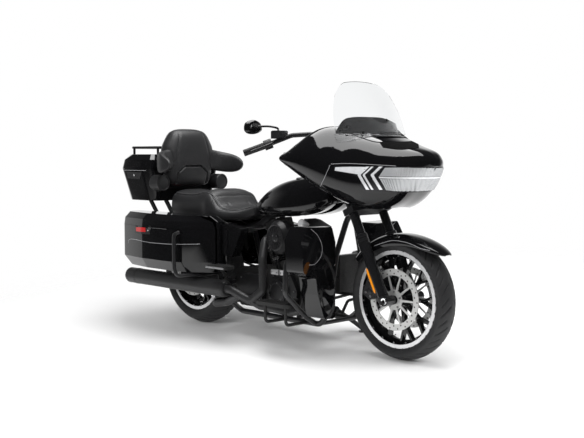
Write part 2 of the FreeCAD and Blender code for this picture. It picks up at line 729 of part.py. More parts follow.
def frame():
    """Double cradle, backbone and seat rails round a steering head."""
    low_end = MM.lower_yoke_along + MM.yoke_thickness + 2
    high_end = MM.upper_yoke_along - 2
    head_base = STEER_FOOT + STEER_UP * low_end
    head = Part.makeCylinder(MM.stem_radius + MM.head_wall, high_end - low_end, head_base, STEER_UP)
    bore = Part.makeCylinder(MM.stem_radius + MM.running_gap, high_end - low_end + 40, head_base - STEER_UP * 20, STEER_UP)
    backbone = tube([V(1370, 0, 852), V(1290, 0, 850), V(640, 0, 715), V(540, 0, 645), V(335, 0, 606)],
                    MM.backbone_radius, MM.frame_bend)
    cradle = tube(cradle_points(), MM.frame_tube_radius, MM.frame_bend)
    rail = tube([V(318, 150, 590), V(200, MM.rail_half_width, MM.rail_height), V(-330, MM.rail_half_width, MM.rail_height)],
                MM.rail_radius, MM.frame_bend)
    plate_inner = MM.arm_inner + MM.arm_thickness + MM.fit_gap
    plate = Part.makeCylinder(34, MM.upright_half_width - plate_inner, V(MM.pivot_x, plate_inner, MM.pivot_height), V(0, 1, 0))
    studs = [rod(V(x, MM.rail_half_width - 6, 606), V(x, MM.bag_inner - MM.fit_gap, 606), 8) for x in (-200, 160)]
    studs += [block(V(x - 12, MM.rail_half_width - 8, 596), V(x + 12, MM.rail_half_width + 4, MM.rail_height)) for x in (-200, 160)]
    fairing_studs = [rod(V(1236, 113, 400), V(1236, 151.7, 400), 8), rod(V(1222, 135, 250), V(1222, 151.7, 250), 8)]
    pivot, _ankle, _ground, _up, axis = stand_pivot()
    under = 13 + MM.fit_gap
    stand_lug = [Part.makeCylinder(19, 10, pivot - axis * (under + 10), axis), rod(pivot - axis * (under + 28), pivot + axis * (under + 4), 7),
                 Part.makeCylinder(11, 4, pivot + axis * under, axis),
                 rod(V(MM.stand_pivot_x - 8, MM.cradle_half_width, MM.cradle_height), pivot - axis * (under + 12), 11)]
    fender_keep_off = arch_mass(AXLE_REAR, rear_fender_stations(), MM.fit_gap)
    fender_bosses = [rod(V(x, 80, 630), V(x, MM.rail_half_width, 634), 9).cut(fender_keep_off) for x in (-60, 60)]
    nose = tube([V(1371, 18, 869), V(1480, 60, 930), V(1600, 90, 1010), V(1640, 96, 1180)], 12, 60)
    nose = nose.common(fairing_form(-MM.panel_wall - MM.fit_gap))
    cover_bar = rod(V(560, -MM.upright_half_width - 15.9, 632), V(560, MM.upright_half_width + 15.9, 632), 8)
    half = [cradle, rail, plate, nose] + studs + fairing_studs + fender_bosses
    crosses = [rod(V(322, -148, 596), V(322, 148, 596), MM.frame_tube_radius),
               rod(V(-320, -MM.rail_half_width, MM.rail_height), V(-320, MM.rail_half_width, MM.rail_height), MM.rail_radius),
               rod(V(1178, -MM.cradle_half_width, 150), V(1178, MM.cradle_half_width, 150), 12)]
    whole = head.multiFuse([backbone, cover_bar] + stand_lug + crosses + half + [mirror(item) for item in half])
    return feature(whole.cut(bore), "frame")


def crankcase():
    """Crankcase with the gearbox behind it."""
    wide = MM.case_half_width
    case = corner_wire([V(690, -wide, 172), V(1000, -wide, 172), V(1045, -wide, 230), V(1045, -wide, 330),
                        V(992.5, -wide, 409), V(850, -wide, 468), V(707.5, -wide, 409), V(660, -wide, 380)], 14)
    gearbox = corner_wire([V(700, -wide, 172), V(700, -wide, 400), V(478, -wide, 400), V(436, -wide, 360),
                           V(436, -wide, 215), V(480, -wide, 172)], 14)
    solid = slab(case, V(0, 2 * wide, 0)).fuse(slab(gearbox, V(0, 2 * wide - 18, 0)))
    pads = [rod(V(x, 0, 163), V(x, MM.cradle_half_width - 4, 163), 12).cut(cradle_seat()) for x in (715, 985)]
    return feature(fused([solid] + pads + [mirror(item) for item in pads]), "crankcase")


def slot_wire(ends, radius, level):
    """Outline of two circles joined by their tangents, in a plane across the bike."""
    first, last = ends
    way = (last - first).normalize()
    side = V(-way.z, 0, way.x)
    at_level = V(0, level, 0)
    a, b = first + side * radius + at_level, last + side * radius + at_level
    c, d = last - side * radius + at_level, first - side * radius + at_level
    return Part.Wire([Part.makeLine(a, b), Part.Arc(b, last + way * radius + at_level, c).toShape(),
                      Part.makeLine(c, d), Part.Arc(d, first - way * radius + at_level, a).toShape()])


def primary_cover():
    """Long oval cover over the primary drive on the left."""
    ends = (V(MM.crank_x, 0, MM.crank_height), V(MM.clutch_x, 0, MM.crank_height - 4))
    start = MM.case_half_width + MM.fit_gap
    base = slab(slot_wire(ends, MM.primary_radius, start), V(0, MM.primary_depth * 0.6, 0))
    crown = loft([slot_wire(ends, MM.primary_radius, start + MM.primary_depth * 0.6),
                  slot_wire(ends, MM.primary_radius * 0.84, start + MM.primary_depth)])
    space = block(V(400, MM.case_half_width - 30, 150), V(645, MM.arm_inner, 420))
    return feature(base.fuse(crown).cut(space).removeSplitter(), "primary_cover")


def cam_cover():
    """Timing cover with a round boss, and the gearbox side cover."""
    start = -MM.case_half_width - MM.fit_gap
    plate = slab(corner_wire([V(755, start, 205), V(960, start, 205), V(985, start, 300), V(930, start, 392), V(780, start, 392),
                              V(738, start, 300)], 30), V(0, -30, 0))
    boss = Part.makeCylinder(MM.cam_radius * 0.8, MM.cam_depth, V(838, start, 288), V(0, -1, 0))
    side = slab(corner_wire([V(500, start, 200), V(700, start, 200), V(700, start, 370), V(500, start, 370)], 40), V(0, -34, 0))
    return feature(Part.makeCompound([plate.fuse(boss).removeSplitter(), side]), "cam_cover")


def cylinder(label, lean):
    """Finned barrel, head and rocker cover on one axis through the crank."""
    body = new_body(label)
    barrel = new_sketch(body, label + "_barrel", "XY_Plane", "deck_height + fit_gap")
    ring(barrel, "0", "0", "barrel_radius")
    pad(body, barrel, "barrel_length")
    first_fin = "deck_height + barrel_length - fin_pitch * (fin_count - 1) - fin_thickness"
    fin = new_sketch(body, label + "_fin", "XY_Plane", first_fin)
    inner, outer, side, cut = "0.40 * fin_size", "0.51 * fin_size", "0.5 * fin_size", "0.16 * fin_size"
    outline(fin, [(f"-{inner}", f"-{side} + {cut}"), (f"-{inner} + {cut}", f"-{side}"), (f"{outer} - {cut}", f"-{side}"),
                  (outer, f"-{side} + {cut}"), (outer, f"{side} - {cut}"), (f"{outer} - {cut}", side),
                  (f"-{inner} + {cut}", side), (f"-{inner}", f"{side} - {cut}")])
    padded = pad(body, fin, "fin_thickness")
    pattern = body.newObject("PartDesign::LinearPattern", label + "_fins")
    pattern.Originals = [padded]
    pattern.Direction = (origin_feature(body, "Z_Axis"), [""])
    pattern.setExpression("Length", bind("fin_pitch * (fin_count - 1)"))
    pattern.setExpression("Occurrences", bind("fin_count"))
    body.Tip = pattern
    DOC.recompute()
    level = "deck_height + barrel_length"
    for name, height, share in (("head", "head_length", 0.46), ("rocker", "rocker_length", 0.40)):
        part = new_sketch(body, f"{label}_{name}", "XY_Plane", level)
        size, corner = f"{share} * fin_size", "0.14 * fin_size"
        outline(part, [(f"-{size}", f"-{size} + {corner}"), (f"-{size} + {corner}", f"-{size}"), (f"{size} - {corner}", f"-{size}"),
                       (size, f"-{size} + {corner}"), (size, f"{size} - {corner}"), (f"{size} - {corner}", size),
                       (f"-{size} + {corner}", size), (f"-{size}", f"{size} - {corner}")])
        pad(body, part, height)
        level = level + " + " + height
    turn = FreeCAD.Rotation(V(0, 1, 0), lean)
    if lean < 0:
        turn = turn.multiply(FreeCAD.Rotation(V(0, 0, 1), 180))
    return finish(body, label, FreeCAD.Placement(V(MM.crank_x, 0, MM.crank_height), turn))


def air_cleaner():
    """Oval cleaner on the right, carried by its back plate and intake."""
    start = -0.5 * MM.fin_size - MM.fit_gap
    centre = V(866, 0, 602)
    back = Part.makeCylinder(72, 34, centre + V(0, start, 0), V(0, -1, 0))
    head_side = -0.46 * MM.fin_size - MM.fit_gap
    boss = rod(V(926, start - 4, 600), V(926, head_side, 600), 8)
    shares = [(0, 1.0), (50, 1.0), (MM.cleaner_depth, 0.8)]
    wires = []
    for depth, share in shares:
        ellipse = Part.Ellipse(centre + V(0, start - 34 - depth, 0), MM.cleaner_half_height * 0.92 * share, MM.cleaner_half_width * share)
        ellipse.Axis = V(0, -1, 0)
        edge = ellipse.toShape()
        edge.rotate(ellipse.Center, V(0, 1, 0), 90)
        wires.append(Part.Wire([edge]))
    return feature(fused([back, boss, loft(wires[:2]), loft(wires[1:])]), "air_cleaner")


def exhaust():
    """Headers, collector, crossover and a silencer on each side."""
    r = MM.pipe_radius
    y, z = MM.silencer_offset, MM.silencer_height
    port = 0.46 * MM.fin_size + MM.fit_gap
    rear = tube([V(728, -port, 580), V(728, -142, 580), V(772, -205, 470), V(790, -214, 300), V(712, -242, 232), V(600, -y, z),
                 V(540, -y, z)], r, 40)
    lean = math.radians(MM.vee_half_degrees)
    mouth = V(MM.crank_x, -36, MM.crank_height) + V(math.sin(lean), 0, math.cos(lean)) * 320
    away = V(math.cos(lean), 0, -math.sin(lean))
    front = tube([mouth + away * port, mouth + away * (port + 36), V(1098, -120, 470), V(1078, -180, 215), V(980, -180, 190),
                  V(760, -210, 205), V(660, -262, 260)], r - 2, 40)
    cross = tube([V(640, -262, 262), V(520, -248, 206), V(400, -236, 184), V(352, -190, 184), V(352, 190, 184), V(340, 268, 240),
                  V(285, y, z)], r - 2, 40)
    pieces = [rear, front, cross]
    for side, front_end in ((-1, MM.silencer_front), (1, 320)):
        body = Part.makeCylinder(MM.silencer_radius, front_end - MM.silencer_rear, V(MM.silencer_rear, side * y, z), V(1, 0, 0))
        edges = [edge for edge in body.Edges if edge.Curve.TypeId == "Part::GeomCircle"]
        pieces.append(body.makeFillet(18, edges))
    whole = fused(pieces)
    for side in (-1, 1):
        whole = whole.cut(Part.makeCylinder(MM.outlet_radius, MM.outlet_depth, V(MM.silencer_rear, side * y, z), V(1, 0, 0)))
    return feature(whole, "exhaust")


# Rear end


def swingarm():
    """Swingarm with its pivot shaft and the hollow rear axle."""
    inner = MM.arm_inner
    arm = slab(corner_wire([V(-40, inner, 300), V(-40, inner, 356), V(60, inner, 350), V(430, inner, 332), V(430, inner, 268),
                            V(60, inner, 296)], 18), V(0, MM.arm_thickness, 0))
    reach = inner + MM.arm_thickness + 14
    axle = Part.makeCylinder(MM.axle_bore_radius - MM.running_gap, 2 * reach, AXLE_REAR - V(0, reach, 0), V(0, 1, 0))
    pivot = Part.makeCylinder(13, 2 * (inner + 4), V(MM.pivot_x, -inner - 4, MM.pivot_height), V(0, 1, 0))
    whole = fused([arm, mirror(arm), axle, pivot])
    for way in (-1, 1):
        mouth = AXLE_REAR + V(0, way * reach, 0)
        whole = whole.cut(Part.makeCylinder(MM.axle_end_bore_radius, MM.axle_end_bore_depth, mouth, V(0, -way, 0)))
    return feature(whole, "swingarm")


def shocks():
    """Rear shocks between the swingarm and the seat rails."""
    low = V(-18, MM.shock_half_track - 6, 357)
    high = V(50, MM.shock_half_track - 8, 622)
    body = rod(low, high, 11).fuse(rod(low + (high - low) * 0.1, low + (high - low) * 0.92, MM.shock_radius))
    return feature(both(body.removeSplitter()), "shocks")


def belt_loop(grow, width):
    """Solid round both pulleys, grown outwards."""
    front, rear = V(520, 0, 286), AXLE_REAR
    small, large = 50 + grow, MM.pulley_radius + grow
    gap = front - rear
    turn = math.asin((large - small) / gap.Length)
    slope = math.atan2(gap.z, gap.x)
    level = V(0, MM.pulley_offset - width / 2, 0)

    def spot(centre, radius, angle):
        return centre + V(math.cos(angle), 0, math.sin(angle)) * radius + level

    up, down = slope + math.pi / 2 - turn, slope - math.pi / 2 + turn
    wire = Part.Wire([Part.makeLine(spot(rear, large, up), spot(front, small, up)),
                      Part.Arc(spot(front, small, up), spot(front, small, slope), spot(front, small, down)).toShape(),
                      Part.makeLine(spot(front, small, down), spot(rear, large, down)),
                      Part.Arc(spot(rear, large, down), spot(rear, large, slope + math.pi), spot(rear, large, up)).toShape()])
    return slab(wire, V(0, width, 0))


def drive_belt():
    """Belt from the gearbox pulley to the rear wheel, with that pulley."""
    width = MM.pulley_width - 4
    loop = belt_loop(MM.fit_gap + 7, width).cut(belt_loop(MM.fit_gap, width))
    small = Part.makeCylinder(50, width, V(520, MM.pulley_offset - width / 2, 286), V(0, 1, 0))
    return feature(Part.makeCompound([loop, small]), "drive_belt")


def rear_fender_stations():
    """Angle, radius, half width and depth of the rear fender's sections."""
    return [(degrees, MM.rear_tyre_radius + 17, 104, deep)
            for degrees, deep in ((35, 40), (60, 50), (90, 55), (120, 60), (150, 60), (178, 50))]


def rear_fender():
    """Arched rear fender over the tyre."""
    wires = [arch_wire(AXLE_REAR, math.radians(degrees), radius, half, deep, MM.fender_wall)
             for degrees, radius, half, deep in rear_fender_stations()]
    return feature(loft(wires), "rear_fender")


def tail_lamp():
    """Lamp bar and number plate holder on the back of the fender."""
    keep_off = Part.makeCylinder(MM.rear_tyre_radius + 17 + MM.fit_gap, 400, AXLE_REAR - V(0, 200, 0), V(0, 1, 0))
    bar = slab(corner_wire([V(-266, -88, 628), V(-266, 88, 628), V(-266, 88, 572), V(-266, -88, 572)], 14), V(76, 0, 0))
    plate = block(V(-362, -90, 398), V(-358, 90, 528))
    arm = block(V(-360, -24, 430), V(-300, 24, 462))
    return feature(Part.makeCompound([bar.cut(keep_off), plate.fuse(arm).cut(keep_off)]), "tail_lamp")


# Luggage


def bag_outline(level, grow=0.0, outer=None):
    """Plan of the left saddlebag at a level: straight inside, swept outside, angled front."""
    inner = MM.bag_inner - grow
    wide = (outer or MM.bag_outer) + grow
    rear = MM.bag_rear - grow
    front = MM.bag_front + grow
    return [V(rear, inner, level), V(front + 180, inner, level), V(front + 180, inner + 72, level),
            V(front + 10, wide - 25, level), V(front - 60, wide, level), V(-60, wide - 2, level),
            V(-300, wide - 40, level), V(rear, wide - 105, level)]


def saddlebag(side):
    """Open box of one bag with its hinge knuckles; side is 1 on the left and -1 on the right."""
    wall = MM.shell_wall
    low, mid, top = MM.bag_bottom, MM.bag_bottom + 60, MM.bag_split
    outer = loft([corner_wire([V(p.x * 0.9 if p.x < 0 else p.x, p.y, p.z) for p in bag_outline(low, 0, MM.bag_outer - 34)], 26),
                  corner_wire(bag_outline(mid), 26)], True)
    upper = slab(corner_wire(bag_outline(mid), 26), V(0, 0, top - mid))
    inner = loft([corner_wire([V(p.x * 0.9 if p.x < 0 else p.x, p.y, p.z) for p in bag_outline(low + wall, -wall, MM.bag_outer - 34)], 21),
                  corner_wire(bag_outline(mid, -wall), 21)], True)
    space = slab(corner_wire(bag_outline(mid, -wall), 21), V(0, 0, top - mid + 1))
    shell = outer.fuse(upper).cut(inner.fuse(space))
    axis = V(0, MM.bag_outer + 4, MM.bag_split)
    knuckles = [Part.makeCylinder(5, 40, axis + V(x, 0, 0), V(1, 0, 0)) for x in (20, 160)]
    relief = Part.makeCylinder(6, 101, axis + V(59.5, 0, 0), V(1, 0, 0))
    shell = fused([shell] + knuckles).cut(relief)
    label = "saddlebag_left" if side > 0 else "saddlebag_right"
    return feature(shell if side > 0 else mirror(shell), label)


def bag_lid(side):
    """Crowned lid of one bag, hinged along its outer edge."""
    wall = MM.shell_wall
    start = MM.bag_split + MM.lid_gap
    height = MM.bag_lid_height
    outer = loft([corner_wire(bag_outline(start), 26), corner_wire(bag_outline(start + height * 0.55, -6), 26)], True)
    crown = loft([corner_wire(bag_outline(start + height * 0.55, -6), 26), corner_wire(bag_outline(start + height, -42), 26)], True)
    inner = loft([corner_wire(bag_outline(start - 1, -wall), 21), corner_wire(bag_outline(start + height * 0.55, -6 - wall), 21)], True)
    under = loft([corner_wire(bag_outline(start + height * 0.55, -6 - wall), 21),
                  corner_wire(bag_outline(start + height - wall, -42), 21)], True)
    shell = outer.fuse(crown).cut(inner.fuse(under))
    axis = V(0, MM.bag_outer + 4, MM.bag_split)
    knuckle = Part.makeCylinder(5, 99, axis + V(60.5, 0, 0), V(1, 0, 0))
    strap = block(V(60.5, MM.bag_outer - 4, start + 4), V(159.5, MM.bag_outer + 8, start + 9))
    hook = block(V(60.5, MM.bag_outer + 4, MM.bag_split), V(159.5, MM.bag_outer + 9, start + 9))
    reliefs = [Part.makeCylinder(5.6, 41, axis + V(x - 0.5, 0, 0), V(1, 0, 0)) for x in (20, 160)]
    shell = fused([shell, knuckle, hook, strap])
    for relief in reliefs:
        shell = shell.cut(relief)
    label = "bag_lid_left" if side > 0 else "bag_lid_right"
    return feature(shell if side > 0 else mirror(shell), label)


def box_outline(level, grow=0.0):
    """Plan of the tour box at a level."""
    wide = MM.box_half_width + grow
    rear, front = MM.box_rear - grow, MM.box_front + grow
    return [V(front, -wide * 0.9, level), V(front, wide * 0.9, level), V(front - 60, wide, level), V(rear + 160, wide, level),
            V(rear, wide * 0.62, level), V(rear, -wide * 0.62, level), V(rear + 160, -wide, level), V(front - 60, -wide, level)]


def tour_box():
    """Open lower half of the tour box."""
    wall = MM.shell_wall
    low, top = MM.box_bottom, MM.box_split
    outer = loft([corner_wire([V(p.x * 0.93 - 14, p.y * 0.8, p.z) for p in box_outline(low)], 40), corner_wire(box_outline(top), 40)], True)
    inner = loft([corner_wire([V(p.x * 0.93 - 14, p.y * 0.8, p.z) for p in box_outline(low + wall, -wall)], 36),
                  corner_wire(box_outline(top + 0.5, -wall), 36)], True)
    axis = V(0, MM.box_half_width + 4, MM.box_split)
    knuckles = [Part.makeCylinder(5, 40, axis + V(x, 0, 0), V(1, 0, 0)) for x in (-440, -300)]
    relief = Part.makeCylinder(5.6, 101, axis + V(-400.5, 0, 0), V(1, 0, 0))
    return feature(fused([outer.cut(inner)] + knuckles).cut(relief), "tour_box")


def tour_box_lid():
    """Domed lid, hinged on the left."""
    wall = MM.shell_wall
    start, height = MM.box_split + MM.lid_gap, MM.box_top - MM.box_split - MM.lid_gap
    levels = [(0.0, 0.0), (0.62, -10.0), (1.0, -46.0)]
    shell = None
    for (share_a, grow_a), (share_b, grow_b) in zip(levels, levels[1:]):
        piece = loft([corner_wire(box_outline(start + height * share_a, grow_a), 40),
                      corner_wire(box_outline(start + height * share_b, grow_b), 40)], True)
        shell = piece if shell is None else shell.fuse(piece)
    inner = loft([corner_wire(box_outline(start - 0.5, -wall), 36), corner_wire(box_outline(start + height * 0.62, -10 - wall), 36)], True)
    inner = inner.fuse(loft([corner_wire(box_outline(start + height * 0.62, -10 - wall), 36),
                             corner_wire(box_outline(start + height - wall, -46), 36)], True))
    shell = shell.cut(inner)
    axis = V(0, MM.box_half_width + 4, MM.box_split)
    knuckle = Part.makeCylinder(5, 99, axis + V(-399.5, 0, 0), V(1, 0, 0))
    hook = block(V(-399.5, MM.box_half_width + 4, MM.box_split), V(-300.5, MM.box_half_width + 9, start + 9))
    strap = block(V(-399.5, MM.box_half_width - 4, start + 4), V(-300.5, MM.box_half_width + 8, start + 9))
    shell = fused([shell, knuckle, hook, strap])
    for x in (-440.5, -300.5):
        shell = shell.cut(Part.makeCylinder(5.6, 41, axis + V(x, 0, 0), V(1, 0, 0)))
    return feature(shell, "tour_box_lid")


def luggage_rack():
    """Tube rack on four feet on the lid."""
    top = MM.box_top + MM.rack_height
    rail = tube([V(-250, 150, top), V(-560, 150, top), V(-610, 90, top), V(-610, -90, top), V(-560, -150, top), V(-250, -150, top)],
                MM.rack_tube_radius, 40)
    cross = [rod(V(x, -150, top), V(x, 150, top), MM.rack_tube_radius * 0.8) for x in (-270, -350, -430, -510)]
    feet = [rod(V(x, y, MM.box_top + MM.fit_gap), V(x, y, top), MM.rack_tube_radius) for x in (-280, -540) for y in (-150, 150)]
    return feature(fused([rail] + cross + feet), "luggage_rack")


def tour_box_bracket():
    """Slanted struts from the seat rails to the tour box."""
    foot = MM.rail_height + MM.rail_radius + MM.fit_gap
    struts = []
    for low_x, high_x in ((-300, -400), (-132, -232)):
        wire = corner_wire([V(low_x - 16, 118, foot), V(low_x + 16, 118, foot), V(high_x + 16, 118, MM.box_bottom - MM.fit_gap),
                            V(high_x - 16, 118, MM.box_bottom - MM.fit_gap)], 3)
        struts.append(slab(wire, V(0, 14, 0)))
    return feature(Part.makeCompound(struts + [mirror(item) for item in struts]), "tour_box_bracket")


# Seat, tank and body


def side_shape(stations, shares):
    """Smooth solid through sections across the bike; each station is x, half width, low and high."""
    wires = []
    for x, half, low, high in stations:
        points = [V(x, half * wide, low + (high - low) * up) for wide, up in shares]
        points += [V(x, -half * wide, low + (high - low) * up) for wide, up in reversed(shares) if wide > 0]
        wires.append(smooth_wire(points))
    return loft(wires)


def seat():
    """Rider's bucket and the passenger's step in one cushion."""
    base = MM.rear_tyre_radius + (MM.rear_tyre_radius + 17) - 17 + 17 + MM.fit_gap + 0.5
    shares = [(0, 1.0), (0.55, 0.97), (0.9, 0.8), (1.0, 0.45), (0.9, 0.08), (0.5, 0.0), (0, 0.0)]
    stations = [(545, 62, base + 30, 770), (500, 105, base + 10, 752), (430, 160, base, 742), (340, 190, base, 762), (262, 196, base, 842),
                (200, 190, base, 852), (110, 190, base, 836), (0, 188, base, 834), (-104, 176, base + 4, 842)]
    return feature(side_shape(stations, shares), "seat")


def backrest():
    """Passenger backrest with wings that curve forward."""
    start = MM.box_front + MM.fit_gap
    shares_low = corner_wire([V(start, -170, 858), V(start, 170, 858), V(start, 200, 1090), V(start, 120, 1225), V(start, -120, 1225), V(start, -200, 1090)], 40)
    shares_high = corner_wire([V(start + 95, -150, 872), V(start + 95, 150, 872), V(start + 75, 176, 1090), V(start + 75, 105, 1205), V(start + 75, -105, 1205), V(start + 75, -176, 1090)], 40)
    pad_main = slab(shares_low, V(85, 0, 0))
    wing = loft([corner_wire([V(start, 150, 955), V(start + 85, 150, 955), V(start + 85, 150, 1085), V(start, 150, 1085)], 20),
                 corner_wire([V(start + 60, 262, 960), V(start + 130, 262, 960), V(start + 130, 262, 1062), V(start + 60, 262, 1062)], 20),
                 corner_wire([V(start + 215, 318, 975), V(start + 262, 318, 975), V(start + 262, 318, 1022), V(start + 215, 318, 1022)], 12)])
    whole = fused([pad_main, wing, mirror(wing)])
    behind = block(V(start - 100, -400, MM.box_split - 5), V(start + 5, 400, 1300))
    return feature(whole.cut(behind), "backrest")


def speaker_pods():
    """Round speaker pods on the front of the tour box."""
    start = MM.box_front + MM.fit_gap
    can = Part.makeCylinder(50, 80, V(start, 238, 888), V(1, 0, 0))
    return feature(both(can.makeFillet(8, [can.Edges[0]])), "speaker_pods")


def fuel_tank():
    """Tank over the backbone."""
    shares = [(0, 1.0), (0.5, 0.965), (0.86, 0.76), (1.0, 0.40), (0.93, 0.12), (0.7, 0.0), (0.3, 0.0), (0, 0.0)]
    stations = [(553, 52, 716, 756), (640, 118, 716, 828), (780, 158, 716, 900), (930, 172, 722, 934), (1080, 158, 745, 942),
                (1185, 104, 800, 925)]
    solid = side_shape(stations, shares)
    tunnel = tube([V(1400, 0, 850), V(1290, 0, 850), V(640, 0, 715), V(500, 0, 700)], MM.backbone_radius + MM.fit_gap, MM.frame_bend)
    well = block(V(520, -MM.backbone_radius - 6, 500), V(1300, MM.backbone_radius + 6, 720))
    cutter = [tunnel, well]
    for x, z in ((700, 735), (850, 760), (1000, 790), (1150, 820)):
        cutter.append(block(V(x - 80, -MM.backbone_radius - 6, 600), V(x + 80, MM.backbone_radius + 6, z)))
    return feature(solid.cut(cutter), "fuel_tank")


def side_covers():
    """Covers between the bags and the frame under the seat."""
    inner = MM.upright_half_width + MM.frame_tube_radius + MM.fit_gap
    panel = slab(corner_wire([V(478, inner, 480), V(560, inner, 470), V(650, inner, 640), V(478, inner, 664)], 16), V(0, 60, 0))
    return feature(both(panel), "side_covers")


def footboards():
    """Rider and passenger boards on their brackets."""
    board = slab(corner_wire([V(868, 250, 244), V(868, 352, 244), V(1092, 352, 244), V(1118, 330, 244), V(1118, 262, 244)], 14), V(0, 0, 18))
    left_arms = [tube([V(x, MM.cradle_half_width, MM.cradle_height), V(x, 196, 226), V(x, 330, 236)], 9, 24).cut(cradle_seat())
                 for x in (945, 1062)]
    right_arms = [tube([V(x, MM.cradle_half_width, MM.cradle_height), V(x, 300, MM.cradle_height), V(x, 300, 250)], 9, 24)
                  .cut(cradle_seat()) for x in (900, 1062)]
    rear = slab(corner_wire([V(496, 300, 414), V(496, 392, 414), V(650, 392, 414), V(650, 300, 414)], 20), V(0, 0, 18))
    hanger = tube([V(396, 178, 282), V(440, 206, 318), V(500, 236, 352), V(520, 320, 423)], 9, 24).cut(cradle_seat())
    passenger = fused([rear, hanger])
    shapes = [fused([board] + left_arms), mirror(fused([board] + right_arms)), passenger, mirror(passenger)]
    return feature(Part.makeCompound(shapes), "footboards")


def guards():
    """Engine guard hoops and bag guard hoops."""
    r = MM.guard_radius
    engine = tube([V(1243, 102, 505), V(1150, 134, 508), V(1140, 372, 520), V(1140, 380, 330), V(1140, 225, 190),
                   V(1132, 136, 142)], 14, 50)
    bag = tube([V(362, 172, 357), V(300, 452, 357), V(285, 458, 400), V(285, 458, 600), V(300, 430, 612)], 11, 30)
    seat_cut = cradle_seat()
    return engine.cut(seat_cut), bag.cut(seat_cut)



FAIRING_SHARES = [(0, 1.0), (0.34, 0.985), (0.62, 0.93), (0.88, 0.72), (1.0, 0.48), (0.86, 0.2), (0.5, 0.02), (0, 0.0)]


def fairing_form(grow=0.0):
    """Smooth solid of the fairing's outside, grown or shrunk by a wall."""
    stations = [(1838, 46, 1008, 1046), (1800, 105, 958, 1078), (1715, 178, 858, 1106), (1610, 240, 792, 1138), (1500, 288, 774, 1172),
                (1400, 334, 800, 1204), (1290, 386, 850, 1232), (1190, 404, 915, 1186), (1118, 402, 985, 1112)]
    wires = []
    for index, (x, half, low, high) in enumerate(stations):
        if index == 0:
            x += grow
        if index == len(stations) - 1 and grow:
            x -= MM.overrun
        half, low, high = half + grow, low - grow, high + grow
        points = [V(x, half * wide, low + (high - low) * up) for wide, up in FAIRING_SHARES]
        points += [V(x, -half * wide, low + (high - low) * up) for wide, up in reversed(FAIRING_SHARES) if wide > 0]
        wires.append(smooth_wire(points))
    return loft(wires)


def lens_prism(inset):
    """Front-view outline of the headlamp, pushed back along the bike."""
    spots = [(285, 985), (250, 953), (140, 874), (-140, 874), (-250, 953), (-285, 985), (-110, 1003), (110, 1003)]
    wire = corner_wire([V(1440, y, z) for y, z in spots], 8)
    if inset:
        wire = wire.makeOffset2D(-inset)
    return slab(wire, V(420, 0, 0))


def vent_prism(inset):
    """Plan of the vent at the foot of the windshield, pushed upwards."""
    wire = corner_wire([V(1532 - inset, -64 + inset, 1050), V(1532 - inset, 64 - inset, 1050), V(1352 + inset, 150 - inset, 1050),
                        V(1352 + inset, -150 + inset, 1050)], 10)
    return slab(wire, V(0, 0, 300))


def cockpit(inset):
    """Plan of the open cockpit behind the fairing."""
    wire = corner_wire([V(1000, -345 - inset, 700), V(1190, -345 - inset, 700), V(1262, -262 - inset, 700), V(1338 + inset, -190, 700),
                        V(1338 + inset, 190, 700), V(1262, 262 + inset, 700), V(1190, 345 + inset, 700), V(1000, 345 + inset, 700)], 25)
    return slab(wire, V(0, 0, 700))


def fairing():
    """Outer shell, inner panel, headlamp and vent from one form."""
    form, hollow = fairing_form(), fairing_form(-MM.panel_wall)
    fork_space = Part.makeCylinder(186, 420, STEER_FOOT + STEER_UP * 690, STEER_UP)
    shell = form.cut([hollow, fork_space, cockpit(0), lens_prism(0)])
    lamp = form.common(lens_prism(MM.fit_gap)).cut(fairing_form(-24))
    tunnel = block(V(1100, -190, 700), V(1500, 190, 1060))
    panel = fairing_form(-MM.panel_wall - MM.fit_gap).common(cockpit(6)).cut([cockpit(0), tunnel])
    vent = fairing_form(12).common(vent_prism(0)).cut(fairing_form(MM.fit_gap))
    return shell, panel, lamp, vent


def windshield():
    """Curved screen that rises from the fairing's top."""
    rows = []
    for high in (-0.4, 0.0, 0.35, 0.7, 1.0):
        row = []
        for across in (-1.0, -0.6, -0.25, 0.25, 0.6, 1.0):
            low_spot = V(1530 - 180 * across ** 2, 252 * across, 1166 + 34 * across ** 2)
            top_spot = V(1322 + 8 * across ** 2, 196 * across, 1454 - 22 * across ** 2)
            bow = 1 + 0.10 * math.sin(math.pi * max(high, 0))
            spot = low_spot + (top_spot - low_spot) * high
            row.append(V(spot.x, spot.y * bow, spot.z))
        rows.append(row)
    surface = Part.BSplineSurface()
    surface.interpolate(rows)
    sheet = surface.toShape().extrude(V(0.62, 0, 0.78) * MM.screen_wall)
    return sheet.cut([fairing_form(MM.fit_gap), fairing_form(12 + MM.fit_gap).common(vent_prism(-MM.fit_gap))])


def lower_fairings():
    """Pods in front of the rider's legs, hollow behind."""
    spots = [(152, 190), (236, 196), (286, 330), (300, 420), (392, 452), (408, 620), (360, 690), (180, 684), (152, 600)]
    front = corner_wire([V(1290, y, z) for y, z in spots], 22)
    back = corner_wire([V(1172, y + (8 if y > 200 else 0), z) for y, z in spots], 22)
    inset = [(158, 196), (231, 202), (280, 330), (294, 426), (386, 458), (402, 618), (357, 684), (183, 678), (158, 600)]
    hollow_front = corner_wire([V(1285, y, z) for y, z in inset], 17)
    hollow_back = corner_wire([V(1150, y + (8 if y > 200 else 0), z) for y, z in inset], 17)
    pod = loft([back, front], True).cut(loft([hollow_back, hollow_front], True))
    return feature(both(pod), "lower_fairings")


def oil_cooler():
    """Cooler between the down tubes."""
    core = block(V(1214, -80, 320), V(1250, 80, 520))
    peg = rod(V(1236, 70, 400), V(1236, 112, 400), 7).cut(cradle_seat())
    return feature(fused([core, peg, mirror(peg)]), "oil_cooler")


